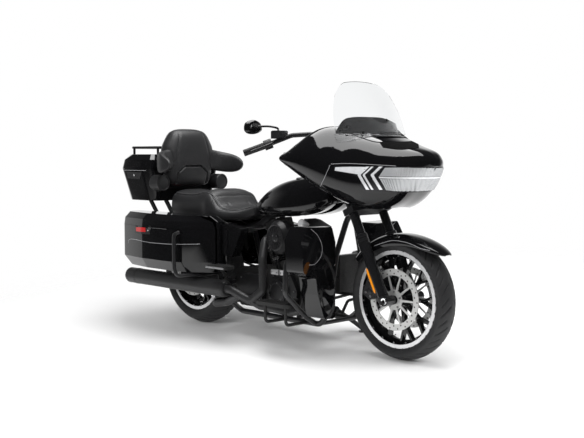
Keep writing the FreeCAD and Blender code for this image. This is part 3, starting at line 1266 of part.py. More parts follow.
def side_stand():
    """Leg with its foot on the ground and its pivot barrel."""
    pivot, ankle, ground, up, axis = stand_pivot()
    foot = Part.makeCylinder(25, 8, ground, up)
    barrel = Part.makeCylinder(17, 26, pivot - axis * 13, axis)
    leg = tube([pivot, pivot + (ankle - pivot) * 0.5 + V(14, -8, 0), ankle, ground + up * 4], MM.stand_leg_radius, 30)
    shape = fused([barrel, leg, foot]).cut(rod(pivot - axis * 30, pivot + axis * 30, 7 + MM.running_gap))
    under = Part.makeCylinder(60, 40, ground - up * 40, up)
    return feature(shape.cut(under), "side_stand")


# Build

wheel_rim("front_rim", "front", "front_disc_offset", AXLE_FRONT)
wheel_tyre("front_tyre", "front", AXLE_FRONT)
discs("front_discs", "front", ["front_disc_offset", "-front_disc_offset"], AXLE_FRONT)
wheel_rim("rear_rim", "rear", "rear_disc_offset", AXLE_REAR)
wheel_tyre("rear_tyre", "rear", AXLE_REAR)
discs("rear_disc", "rear", ["-rear_disc_offset"], AXLE_REAR)
pulley("rear_pulley", AXLE_REAR)
yokes()
fork_legs()
front_fender()
handlebar()
hand_controls()
mirrors()
front_calipers()
frame()
crankcase()
primary_cover()
cam_cover()
cylinder("cylinder_front", MM.vee_half_degrees)
cylinder("cylinder_rear", -MM.vee_half_degrees)
air_cleaner()
exhaust()
swingarm()
shocks()
drive_belt()
rear_fender()
saddlebag(-1)
saddlebag(1)
bag_lid(-1)
bag_lid(1)
tour_box()
tour_box_lid()
luggage_rack()
tour_box_bracket()
seat()
backrest()
speaker_pods()
fuel_tank()
side_covers()
footboards()
shell, panel, lamp, vent = fairing()
feature(shell, "fairing_outer")
feature(panel, "fairing_inner")
feature(lamp, "headlamp")
feature(vent, "wind_vent")
feature(windshield(), "windshield")
engine_hoop, bag_hoop = guards()
feature(both(engine_hoop), "engine_guard")
feature(both(bag_hoop), "bag_guards")
lower_fairings()
oil_cooler()
side_stand()
tail_lamp()


def write_parts():
    """Check every object and write one file for each sub-part."""
    DOC.recompute()
    for obj in DOC.Objects:
        if "Invalid" in obj.State or "Error" in obj.State:
            raise RuntimeError(obj.Label + " is " + ", ".join(obj.State))
    os.makedirs("parts", exist_ok=True)
    for node in NODES:
        if node.Shape.isNull() or not node.Shape.isValid():
            raise RuntimeError(node.Label + " has no valid shape")
        node.Shape.exportStep(os.path.join("parts", node.Label + ".step"))


write_parts()
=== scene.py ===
"""Touring cruiser motorcycle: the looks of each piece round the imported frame, in metres.

Places are worked out in the bike frame: x forward from the rear axle, y to the left and z up from the ground.
The stance then leans them on the side stand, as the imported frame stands.
"""

import json
import logging
import math
from dataclasses import dataclass, field
from enum import Enum
from functools import cache

import bmesh
import bpy
import numpy as np
from mathutils import Matrix, Vector
from mathutils.bvhtree import BVHTree

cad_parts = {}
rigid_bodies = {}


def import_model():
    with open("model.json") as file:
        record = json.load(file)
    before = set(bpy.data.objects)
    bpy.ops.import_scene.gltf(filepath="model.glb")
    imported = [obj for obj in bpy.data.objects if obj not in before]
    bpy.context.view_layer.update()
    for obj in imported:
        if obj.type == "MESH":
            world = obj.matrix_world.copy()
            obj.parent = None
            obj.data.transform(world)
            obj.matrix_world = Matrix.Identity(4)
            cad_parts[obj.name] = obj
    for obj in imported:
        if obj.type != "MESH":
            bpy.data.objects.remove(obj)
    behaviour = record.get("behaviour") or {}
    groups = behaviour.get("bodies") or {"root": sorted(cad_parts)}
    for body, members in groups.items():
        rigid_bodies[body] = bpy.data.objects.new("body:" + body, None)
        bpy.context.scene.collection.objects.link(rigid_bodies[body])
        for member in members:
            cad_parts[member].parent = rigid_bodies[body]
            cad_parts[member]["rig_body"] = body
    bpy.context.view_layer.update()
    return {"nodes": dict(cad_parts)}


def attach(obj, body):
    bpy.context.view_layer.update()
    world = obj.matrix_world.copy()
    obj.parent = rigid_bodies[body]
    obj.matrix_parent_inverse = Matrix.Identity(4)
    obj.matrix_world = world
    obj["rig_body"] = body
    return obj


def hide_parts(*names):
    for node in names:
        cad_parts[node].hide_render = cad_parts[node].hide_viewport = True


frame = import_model()

LOG = logging.getLogger("touring_cruiser")
Array = np.ndarray
Point = tuple[float, float, float]
Pairs = tuple[tuple[float, float], ...]
Points = tuple[Point, ...]

FORWARD, LEFTWARD, RIGHTWARD, UPWARD = (1, 0, 0), (0, 1, 0), (0, -1, 0), (0, 0, 1)


class Slot(Enum):
    """Material slots of the record."""

    GLOSS = "gloss_paint"
    SATIN = "satin_paint"
    ENGINE = "engine_paint"
    METAL = "machined_metal"
    DISC = "disc_steel"
    PIPE = "dark_pipe"
    PLASTIC = "plastic"
    TYRE = "tyre_rubber"
    RUBBER = "rubber"
    VINYL = "vinyl"
    SCREEN = "screen"
    LENS = "lens"
    RED = "red_lens"


class Body(Enum):
    """Bodies that pieces ride on."""

    CHASSIS = "chassis"
    STEERING = "steering"
    FRONT_WHEEL = "front_wheel"
    REAR_WHEEL = "rear_wheel"
    BAG_LID_RIGHT = "bag_lid_right"
    BAG_LID_LEFT = "bag_lid_left"
    TOUR_LID = "tour_lid"
    SIDE_STAND = "side_stand"


# Stance and sight


@dataclass(frozen=True)
class Stance:
    """Lean and shift that take the bike frame to the row frame."""

    lean_degrees: float = 5.0
    shift: Point = (-0.662, -0.0787, 0.00045)

    def turn(self, ways: Array, back: bool = False) -> Array:
        """Turn directions of the bike frame into the row frame, or back."""
        lean = math.radians(-self.lean_degrees if back else self.lean_degrees)
        x, y, z = ways[..., 0], ways[..., 1], ways[..., 2]
        cosine, sine = math.cos(lean), math.sin(lean)
        return np.stack([x, y * cosine + z * sine, z * cosine - y * sine], axis=-1)

    def place(self, points: Array) -> Array:
        """Take points of the bike frame to the row frame."""
        return self.turn(points) + np.array(self.shift)

    def unplace(self, points: Array) -> Array:
        """Take points of the row frame back to the bike frame."""
        return self.turn(points - np.array(self.shift), back=True)


STANCE = Stance()


@dataclass(frozen=True)
class Sight:
    """The photograph's view: where it stands, its axes and its lens."""

    place: Point = (4.16789, -3.89125, 1.4066)
    right: Point = (0.69749, 0.71383, -0.06245)
    up: Point = (-0.04768, 0.13321, 0.98994)
    back: Point = (0.7150, -0.6875, 0.1270)
    lens: float = 60.14
    sensor: float = 36.0
    width: int = 584
    height: int = 438
    nearest: float = 0.05
    farthest: float = 100.0

    def camera(self) -> None:
        """Make the scene's camera."""
        data = bpy.data.cameras.new("photo_camera")
        data.lens, data.sensor_width, data.sensor_fit = self.lens, self.sensor, "HORIZONTAL"
        data.clip_start, data.clip_end = self.nearest, self.farthest
        camera = bpy.data.objects.new("photo_camera", data)
        bpy.context.scene.collection.objects.link(camera)
        turn = Matrix((self.right, self.up, self.back)).transposed()
        camera.matrix_world = Matrix.Translation(self.place) @ turn.to_4x4()
        bpy.context.scene.camera = camera

    def ways(self, pixels: Array) -> Array:
        """Directions through places of the photograph.

        Args:
            pixels: Places from the upper left corner, in the last axis.

        Returns:
            Unit directions in the row frame: the lens along the view plus the place's share of the sensor.
        """
        step = self.sensor / self.width
        aside = (pixels[..., :1] - self.width / 2) * step
        above = (self.height / 2 - pixels[..., 1:2]) * step
        ways = aside * np.array(self.right) + above * np.array(self.up) - self.lens * np.array(self.back)
        return unit(ways)


SIGHT = Sight()


# Shapes


def unit(ways: Array) -> Array:
    """Directions scaled to a length of one."""
    return ways / (np.linalg.norm(ways, axis=-1, keepdims=True) + 1e-12)


def angles(count: int) -> Array:
    """Even steps round a full turn."""
    return np.linspace(0, 2 * np.pi, count, endpoint=False)


def ramp(values: Array, start: float, end: float) -> Array:
    """Rise from 0 at the start to 1 at the end, level outside them."""
    return np.clip((values - start) / (end - start), 0, 1)


def bell(values: Array, middle: float | Array, width: float) -> Array:
    """Bell curve: e to minus the square of the distance from the middle over the width."""
    return np.exp(-((values - middle) / width) ** 2)


@dataclass
class Shell:
    """Points with the quads and rings that join them."""

    points: Array
    quads: Array
    rings: list[list[int]] = field(default_factory=list)

    @staticmethod
    def join(shells: list["Shell"]) -> "Shell":
        """Put several shells into one."""
        starts = np.cumsum([0] + [len(shell.points) for shell in shells])
        quads = [shell.quads + start for shell, start in zip(shells, starts)]
        rings = [[spot + int(start) for spot in ring] for shell, start in zip(shells, starts) for ring in shell.rings]
        return Shell(np.concatenate([shell.points for shell in shells]), np.concatenate(quads), rings)

    def mirrored(self) -> "Shell":
        """The same shell on the other side of the bike."""
        return Shell(self.points * np.array([1, -1, 1]), self.quads[:, ::-1], [ring[::-1] for ring in self.rings])

    def both(self) -> "Shell":
        """The shell and its mirror image."""
        return Shell.join([self, self.mirrored()])


def grid(points: Array, wrap_rows: bool = False, wrap_columns: bool = False, caps: bool = False) -> Shell:
    """Surface over a grid of points.

    Args:
        points: Array of rows by columns by 3.
        wrap_rows: Join the last row to the first.
        wrap_columns: Join the last column to the first.
        caps: Close the first and last rows, which then are rings.

    Returns:
        The shell, with one quad between each four neighbours.
    """
    rows, columns = points.shape[:2]
    index = np.arange(rows * columns).reshape(rows, columns)
    if wrap_rows:
        index = np.vstack([index, index[:1]])
    if wrap_columns:
        index = np.hstack([index, index[:, :1]])
    quads = np.stack([index[:-1, :-1], index[:-1, 1:], index[1:, 1:], index[1:, :-1]], axis=-1).reshape(-1, 4)
    rings = [list(range(columns))[::-1], list(range((rows - 1) * columns, rows * columns))] if caps else []
    return Shell(points.reshape(-1, 3), quads, rings)


def smooth_path(points: Pairs | Points | Array, count: int, closed: bool = False) -> Array:
    """Smooth line through points: a cubic whose slope at a point is half the step between its neighbours.

    Args:
        points: Places that the line passes, each of two or more numbers.
        count: Number of places in the answer.
        closed: Run from the last point back to the first.

    Returns:
        Array of count places.
    """
    spots = np.array(points, float)
    if closed:
        padded = np.vstack([spots[-1:], spots, spots[:2]])
    else:
        padded = np.vstack([2 * spots[:1] - spots[1:2], spots, 2 * spots[-1:] - spots[-2:-1]])
    spans = len(padded) - 3
    t = np.linspace(0, spans, count, endpoint=not closed)
    i = np.minimum(t.astype(int), spans - 1)
    u = (t - i)[:, None]
    a, b, c, d = padded[i], padded[i + 1], padded[i + 2], padded[i + 3]
    return b + 0.5 * u * (c - a + u * (2 * a - 5 * b + 4 * c - d + u * (3 * (b - c) + d - a)))


def sweep(path: Array, profile: Array, up: Point = UPWARD) -> Shell:
    """Carry a closed profile along a path, with its side square to the path and to the up way.

    Args:
        path: Places along the middle.
        profile: Outline as (aside, above), or one outline for each place.
        up: Way that the profile's height leans to.

    Returns:
        The shell, closed at both ends.
    """
    along = unit(np.gradient(path, axis=0))
    aside = unit(np.cross(np.broadcast_to(np.array(up, float), along.shape), along))
    above = np.cross(along, aside)
    outline = np.broadcast_to(profile, (len(path),) + profile.shape[-2:])
    points = path[:, None] + aside[:, None] * outline[..., :1] + above[:, None] * outline[..., 1:]
    return grid(points, wrap_columns=True, caps=True)


def bar(start: Point, end: Point, profile: Array, count: int, up: Point = UPWARD) -> Shell:
    """Straight bar of one profile, with a number of places along it."""
    return sweep(np.linspace(start, end, count), profile, up)


def circle(radius: float, sides: int) -> Array:
    """Round outline."""
    return np.stack([np.cos(angles(sides)), np.sin(angles(sides))], axis=-1) * radius


def soft_box(width: float, height: float, sides: int = 24, power: float = 4.0) -> Array:
    """Outline between an ellipse and a rectangle: each half axis times the cosine or sine to the power's root."""
    ring = circle(1.0, sides)
    return np.sign(ring) * np.abs(ring) ** (2 / power) * np.array([width, height]) / 2


def turned(profile: Pairs, base: Point, axis: Point, sides: int = 24) -> Shell:
    """Turn a profile round an axis: each profile place is a radius and a height from the base."""
    way = unit(np.array(axis, float))
    helper = np.array([0.0, 0.0, 1.0]) if abs(way[2]) < 0.9 else np.array([1.0, 0.0, 0.0])
    first = unit(np.cross(helper, way))
    second = np.cross(way, first)
    ring = circle(1.0, sides)
    spokes = ring[:, :1] * first + ring[:, 1:] * second
    steps = np.array(profile, float)
    points = np.array(base, float) + steps[:, None, :1] * spokes + steps[:, None, 1:] * way
    return grid(points, wrap_columns=True, caps=True)


def hoop(centre: Point, radius: Array, across: Array, sides: int) -> Shell:
    """Closed ring round a crosswise axis.

    Args:
        centre: Middle of the ring.
        radius: Radius of each place of its section, the same at every angle or with a row for each.
        across: Place of each of them across the bike, from the centre.
        sides: Number of angles.

    Returns:
        The shell.
    """
    x, y, z = centre
    angle = angles(sides)[:, None]
    far = np.broadcast_to(radius, (sides, len(across)))
    level = np.broadcast_to(y + across, far.shape)
    points = np.stack([x + far * np.cos(angle), level, z + far * np.sin(angle)], axis=-1)
    return grid(points, wrap_rows=True, wrap_columns=True)


def bolt(place: Point, axis: Point, radius: float = 0.005, height: float = 0.004) -> Shell:
    """Socket head with a chamfered rim and a sunk middle."""
    profile = ((radius, -0.001), (radius, height * 0.75), (radius * 0.8, height), (radius * 0.5, height),
               (radius * 0.45, height * 0.3))
    return turned(profile, place, axis, 12)


def bolts(places: Points | list[Point], axis: Point, radius: float = 0.005, height: float = 0.004) -> Shell:
    """Several bolt heads along one axis."""
    return Shell.join([bolt(place, axis, radius, height) for place in places])


def round_places(centre: Point, radius: float, count: int, start: float = 0.0) -> list[Point]:
    """Places on a circle in the plane of the wheels."""
    x, y, z = centre
    angle = angles(count) + start
    return [(x + radius * a, y, z + radius * b) for a, b in zip(np.cos(angle), np.sin(angle))]


def ribbon(points: Array, normals: Array, width: float, lift: float = 0.0006, sink: float = 0.0004) -> Shell:
    """Thin closed strip that follows a line on a surface: its side is the normal crossed with the line's run."""
    aside = unit(np.cross(normals, unit(np.gradient(points, axis=0)))) * width / 2
    low, high = normals * sink, normals * lift
    corners = [points + aside - low, points + aside * 0.9 + high, points - aside * 0.9 + high, points - aside - low]
    return grid(np.stack(corners, axis=1), wrap_columns=True, caps=True)


def sheet(points: Array, normals: Array, thickness: float, lift: float = 0.0) -> Shell:
    """Closed thin plate over a grid: the grid lifted along its normals, and the same below it."""
    rows, columns = points.shape[:2]
    upper, lower = grid(points + normals * (lift + thickness)), grid(points + normals * lift)
    index = np.arange(rows * columns).reshape(rows, columns)
    edge = np.concatenate([index[0], index[1:, -1], index[-1, -2::-1], index[-2:0:-1, 0]])
    shift, after = rows * columns, np.roll(edge, -1)
    walls = np.stack([edge, edge + shift, after + shift, after], axis=-1)
    quads = np.concatenate([upper.quads, lower.quads[:, ::-1] + shift, walls])
    return Shell(np.concatenate([upper.points, lower.points]), quads)


# Finishes


def add_node(tree: bpy.types.NodeTree, kind: str, inputs: dict[str | int, object],
             **settings: object) -> bpy.types.Node:
    """Add a shader node, set it up, and link its inputs or give them constants."""
    node = tree.nodes.new("ShaderNode" + kind)
    for name, value in settings.items():
        setattr(node, name, value)
    for socket, value in inputs.items():
        if isinstance(value, bpy.types.NodeSocket):
            tree.links.new(value, node.inputs[socket])
        else:
            node.inputs[socket].default_value = value
    return node


def new_group(name: str, inputs: dict[str, tuple[str, float | tuple]], outputs: dict[str, str]) -> tuple:
    """Empty shader node group with its sockets.

    Args:
        name: Name of the group.
        inputs: Socket kind and default of each input.
        outputs: Socket kind of each output.

    Returns:
        The group with its input and output nodes.
    """
    group = bpy.data.node_groups.new(name, "ShaderNodeTree")
    for label, (kind, value) in inputs.items():
        group.interface.new_socket(label, in_out="INPUT", socket_type="NodeSocket" + kind).default_value = value
    for label, kind in outputs.items():
        group.interface.new_socket(label, in_out="OUTPUT", socket_type="NodeSocket" + kind)
    return group, group.nodes.new("NodeGroupInput"), group.nodes.new("NodeGroupOutput")


@cache
def drift_group() -> bpy.types.NodeTree:
    """Slow change of colour and roughness over a surface: both are scaled by one plus a share of a soft noise."""
    group, start, end = new_group("drift", {
        "Colour": ("Color", (0.5, 0.5, 0.5, 1)), "Roughness": ("Float", 0.4), "Scale": ("Float", 6.0),
        "Amount": ("Float", 0.1)}, {"Colour": "Color", "Roughness": "Float"})
    given = start.outputs
    place = add_node(group, "TexCoord", {}).outputs["Object"]
    noise = add_node(group, "TexNoise", {"Vector": place, "Scale": given["Scale"], "Detail": 5.0}).outputs["Fac"]
    centred = add_node(group, "Math", {0: noise, 1: 0.5}, operation="SUBTRACT").outputs[0]
    share = add_node(group, "Math", {0: centred, 1: given["Amount"]}, operation="MULTIPLY").outputs[0]
    factor = add_node(group, "Math", {0: share, 1: 2.0, 2: 1.0}, operation="MULTIPLY_ADD").outputs[0]
    colour = add_node(group, "VectorMath", {0: given["Colour"], "Scale": factor}, operation="SCALE")
    rough = add_node(group, "Math", {0: given["Roughness"], 1: factor}, operation="MULTIPLY", use_clamp=True)
    group.links.new(colour.outputs[0], end.inputs["Colour"])
    group.links.new(rough.outputs[0], end.inputs["Roughness"])
    return group


@cache
def grain_group() -> bpy.types.NodeTree:
    """Pebbled or cast skin: cells with rounded tops, broken up by a fine noise."""
    group, start, end = new_group("grain", {"Scale": ("Float", 600.0)}, {"Height": "Float"})
    where = {"Vector": add_node(group, "TexCoord", {}).outputs["Object"], "Scale": start.outputs["Scale"]}
    cells = add_node(group, "TexVoronoi", where).outputs["Distance"]
    noise = add_node(group, "TexNoise", {**where, "Detail": 2.0}).outputs["Fac"]
    height = add_node(group, "Math", {0: cells, 1: noise}, operation="MULTIPLY")
    group.links.new(height.outputs[0], end.inputs["Height"])
    return group


@cache
def turning_group() -> bpy.types.NodeTree:
    """Marks of turning: noise along the distance from a centre in the plane of the wheels."""
    group, start, end = new_group("turning_marks", {
        "Centre": ("Vector", (0, 0, 0)), "Scale": ("Float", 900.0)}, {"Height": "Float"})
    given = start.outputs
    place = add_node(group, "TexCoord", {}).outputs["Object"]
    away = add_node(group, "VectorMath", {0: place, 1: given["Centre"]}, operation="SUBTRACT").outputs[0]
    flat = add_node(group, "VectorMath", {0: away, 1: (1, 0, 1)}, operation="MULTIPLY").outputs[0]
    far = add_node(group, "VectorMath", {0: flat}, operation="LENGTH").outputs["Value"]
    spread = add_node(group, "Math", {0: far, 1: given["Scale"]}, operation="MULTIPLY").outputs[0]
    noise = add_node(group, "TexNoise", {"W": spread, "Scale": 1.0}, noise_dimensions="1D")
    group.links.new(noise.outputs["Fac"], end.inputs["Height"])
    return group


@dataclass(frozen=True)
class Finish:
    """One surface finish: its colour, gloss and skin."""

    name: str
    colour: Point
    slot: Slot
    roughness: float = 0.4
    metallic: float = 0.0
    coat: float = 0.0
    specular: float = 0.5
    transmission: float = 0.0
    ior: float = 1.5
    glow: float = 0.0
    drift_scale: float = 7.0
    drift_amount: float = 0.12
    grain_scale: float = 600.0
    grain_depth: float = 0.0
    turning_centre: Point | None = None
    coat_roughness: float = 0.03

    def material(self) -> bpy.types.Material:
        """Build the finish's material once.

        Returns:
            The material of this name, the frame's own one too, or else a new one with drift on colour and
            roughness and a bump from its grain.
        """
        found = bpy.data.materials.get(self.name)
        if found:
            return found
        material = bpy.data.materials.new(self.name)
        material.use_nodes = True
        tree = material.node_tree
        shader = tree.nodes["Principled BSDF"]
        colour = (*self.colour, 1.0)
        values = {"Metallic": self.metallic, "Coat Weight": self.coat, "Coat Roughness": self.coat_roughness,
                  "Specular IOR Level": self.specular, "Transmission Weight": self.transmission, "IOR": self.ior}
        if self.transmission:
            values |= {"Base Color": colour, "Roughness": self.roughness}
        else:
            drift = add_node(tree, "Group", {}, node_tree=drift_group())
            for socket, value in (("Colour", colour), ("Roughness", self.roughness), ("Scale", self.drift_scale),
                                  ("Amount", self.drift_amount)):
                drift.inputs[socket].default_value = value
            tree.links.new(drift.outputs["Colour"], shader.inputs["Base Color"])
            tree.links.new(drift.outputs["Roughness"], shader.inputs["Roughness"])
        if self.glow:
            values |= {"Emission Color": colour, "Emission Strength": self.glow}
        for socket, value in values.items():
            shader.inputs[socket].default_value = value
        if self.grain_depth:
            grain = add_node(tree, "Group", {}, node_tree=turning_group() if self.turning_centre else grain_group())
            if self.turning_centre:
                grain.inputs["Centre"].default_value = self.turning_centre
            grain.inputs["Scale"].default_value = self.grain_scale
            bump = add_node(tree, "Bump", {"Height": grain.outputs["Height"], "Distance": self.grain_depth})
            tree.links.new(bump.outputs["Normal"], shader.inputs["Normal"])
        return material


GLOSS_BLACK = Finish("gloss_black", (0.004, 0.004, 0.0045), Slot.GLOSS, 0.05, coat=0.45, specular=0.25,
                     drift_amount=0.05, grain_scale=250.0, grain_depth=0.00002)
SATIN_BLACK = Finish("satin_powder_coat", (0.012, 0.012, 0.013), Slot.SATIN, 0.33, grain_scale=1400.0,
                     grain_depth=0.0001)
FORK_BLACK = Finish("fork_gloss_black", (0.010, 0.010, 0.011), Slot.SATIN, 0.16, coat=0.3, grain_scale=900.0,
                    grain_depth=0.00003)
ENGINE_BLACK = Finish("engine_wrinkle_black", (0.012, 0.012, 0.012), Slot.ENGINE, 0.42, grain_scale=520.0,
                      grain_depth=0.00035)
MACHINED = Finish("machined_aluminium", (0.78, 0.78, 0.79), Slot.METAL, 0.2, 1.0, grain_scale=1200.0,
                  grain_depth=0.00005)
LIP_BRIGHT = Finish("rim_lip_bright", (0.80, 0.80, 0.81), Slot.METAL, 0.26, 0.45, grain_scale=1200.0,
                    grain_depth=0.00005)
CHROME = Finish("chrome", (0.86, 0.87, 0.88), Slot.METAL, 0.06, 1.0, drift_amount=0.04)
SCREW_STEEL = Finish("screw_steel", (0.32, 0.32, 0.33), Slot.METAL, 0.3, 1.0, grain_scale=1500.0,
                     grain_depth=0.00005)
BLACK_SCREW = Finish("black_screw", (0.02, 0.02, 0.02), Slot.METAL, 0.35, 0.6)
DISC_FRONT = Finish("brushed_disc_front", (0.66, 0.66, 0.65), Slot.DISC, 0.34, 0.45, grain_scale=1300.0,
                    grain_depth=0.00008, turning_centre=(0.963, 0.0, 0.318))
DISC_REAR = Finish("brushed_disc_rear", (0.62, 0.62, 0.61), Slot.DISC, 0.34, 0.45, grain_scale=1300.0,
                   grain_depth=0.00008, turning_centre=(-0.662, 0.0, 0.327))
# Dark cups laid on the discs in place of the drilled holes: painted shade of the bores.
HOLE_PAINTED_SHADE = Finish("drilled_hole_painted_shade", (0.02, 0.02, 0.02), Slot.DISC, 0.7)
PIPE_BLACK = Finish("exhaust_black", (0.028, 0.028, 0.029), Slot.PIPE, 0.42, 0.3, grain_scale=1000.0,
                    grain_depth=0.0001)
PLASTIC_BLACK = Finish("moulded_plastic", (0.016, 0.016, 0.017), Slot.PLASTIC, 0.5, grain_scale=1100.0,
                       grain_depth=0.00022)
TYRE_BLACK = Finish("tyre_compound", (0.020, 0.020, 0.021), Slot.TYRE, 0.62, drift_scale=30.0, drift_amount=0.2,
                    grain_scale=700.0, grain_depth=0.00015)
# Near-black, almost unreflecting plate laid over the scoop's mouth: painted shade standing in for the opening.
OPENING_PAINTED_SHADE = Finish("opening_painted_shade", (0.003, 0.003, 0.003), Slot.PLASTIC, 0.9, specular=0.05)
RUBBER_BLACK = Finish("moulded_rubber", (0.015, 0.015, 0.015), Slot.RUBBER, 0.6, grain_scale=900.0,
                      grain_depth=0.0002)
VINYL_BLACK = Finish("seat_vinyl", (0.017, 0.017, 0.018), Slot.VINYL, 0.44, drift_scale=12.0, grain_scale=420.0,
                     grain_depth=0.0004)
THREAD = Finish("seat_thread", (0.05, 0.05, 0.052), Slot.VINYL, 0.7, grain_scale=1800.0, grain_depth=0.0002)
SCREEN_CLEAR = Finish("clear_screen", (0.93, 0.94, 0.945), Slot.SCREEN, 0.0, transmission=1.0, ior=1.25)
LAMP_CHROME = Finish("lamp_reflector", (0.80, 0.81, 0.83), Slot.LENS, 0.22, 0.4, glow=0.12, drift_amount=0.25,
                     drift_scale=60.0)
LAMP_GRID = Finish("lamp_optics", (0.50, 0.51, 0.52), Slot.LENS, 0.18, 0.35, grain_scale=330.0,
                   grain_depth=0.0012, glow=0.06)
LAMP_DARK = Finish("lamp_bowl", (0.02, 0.02, 0.022), Slot.LENS, 0.25, 0.4)
RED_LENS = Finish("red_lens", (0.45, 0.02, 0.02), Slot.RED, 0.2)  # The frame's own material of this name is worn.
# The amber reflectors glow a little: a painted highlight, since they are reflectors and no lamp.
AMBER_LENS_PAINTED_GLOW = Finish("amber_reflector", (0.9, 0.30, 0.01), Slot.LENS, 0.2, coat=0.4, glow=0.12, grain_scale=450.0,
                    grain_depth=0.0006)
STRIPE_GREY = Finish("pinstripe_grey", (0.30, 0.30, 0.31), Slot.GLOSS, 0.25, coat=0.4)
EDGE_GREY = Finish("edge_light_grey", (0.42, 0.42, 0.43), Slot.METAL, 0.3, 0.7)
MIRROR_GLASS = Finish("mirror_glass", (0.80, 0.82, 0.84), Slot.METAL, 0.02, 1.0, drift_amount=0.02)
PLATE_BLANK = Finish("blank_plate", (0.55, 0.55, 0.55), Slot.PLASTIC, 0.45)


# Pieces


def link_piece(name: str, mesh: bpy.types.Mesh, finish: Finish, body: Body,
               nodes: tuple[str, ...] = ()) -> bpy.types.Object:
    """Turn a mesh into a piece of the bike.

    Args:
        name: Name of the piece.
        mesh: Mesh with its place in its points.
        finish: Its finish.
        body: Body that the piece rides on.
        nodes: CAD nodes that the piece stands for.

    Returns:
        The object.
    """
    piece = bpy.data.objects.new(name, mesh)
    bpy.context.scene.collection.objects.link(piece)
    mesh.materials.clear()
    mesh.materials.append(finish.material())
    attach(piece, body.value)
    if nodes:
        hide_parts(*nodes)
    LOG.info("%s: %d faces on %s", name, len(mesh.polygons), body.value)
    return piece


def make_piece(name: str, shell: Shell, finish: Finish, body: Body = Body.CHASSIS, nodes: tuple[str, ...] = (),
               sharp_degrees: float = 40.0) -> bpy.types.Object:
    """Make a piece from a shell.

    Args:
        name: Name of the piece.
        shell: Its points and faces, in the bike frame.
        finish: Its finish.
        body: Body that it rides on.
        nodes: CAD nodes that it stands for.
        sharp_degrees: Edges that turn more than this stay sharp.

    Returns:
        The object, with its faces pointing outwards.
    """
    mesh = bpy.data.meshes.new(name)
    mesh.from_pydata(STANCE.place(shell.points).tolist(), [], shell.quads.tolist() + shell.rings)
    work = bmesh.new()
    work.from_mesh(mesh)
    bmesh.ops.recalc_face_normals(work, faces=work.faces)
    work.to_mesh(mesh)
    work.free()
    mesh.shade_smooth()
    mesh.set_sharp_from_angle(angle=math.radians(sharp_degrees))
    return link_piece(name, mesh, finish, body, nodes)


def dress(finish: Finish, *nodes: str, sharp_degrees: float = 32.0) -> bpy.types.Object:
    """Copy CAD nodes, merge their loose triangles, smooth their curves and give them a finish.

    Args:
        finish: Their finish.
        nodes: Names of the CAD nodes.
        sharp_degrees: Edges that turn more than this stay sharp.

    Returns:
        The piece that stands for the last node.
    """
    for node in nodes:
        source = frame["nodes"][node]
        mesh = source.data.copy()
        work = bmesh.new()
        work.from_mesh(mesh)
        bmesh.ops.remove_doubles(work, verts=work.verts, dist=0.00001)
        work.to_mesh(mesh)
        work.free()
        if "custom_normal" in mesh.attributes:
            mesh.attributes.remove(mesh.attributes["custom_normal"])
        mesh.shade_smooth()
        mesh.set_sharp_from_angle(angle=math.radians(sharp_degrees))
        piece = link_piece(node + "_finished", mesh, finish, Body(source["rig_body"]), (node,))
    return piece


def finish_below(piece: bpy.types.Object, level: float, finish: Finish) -> None:
    """Give the faces below a level of the bike frame a second finish."""
    middles = np.zeros(len(piece.data.polygons) * 3)
    piece.data.polygons.foreach_get("center", middles)
    below = STANCE.unplace(middles.reshape(-1, 3))[:, 2] < level
    piece.data.materials.append(finish.material())
    piece.data.polygons.foreach_set("material_index", below.astype(np.int32))


@dataclass(frozen=True)
class Patch:
    """Plate that lies on a surface between two lines of the photograph."""

    upper: Pairs
    lower: Pairs
    thickness: float
    lift: float = 0.0
    rows: int = 10
    columns: int = 30
    ribs: int = 0
    rib_height: float = 0.0


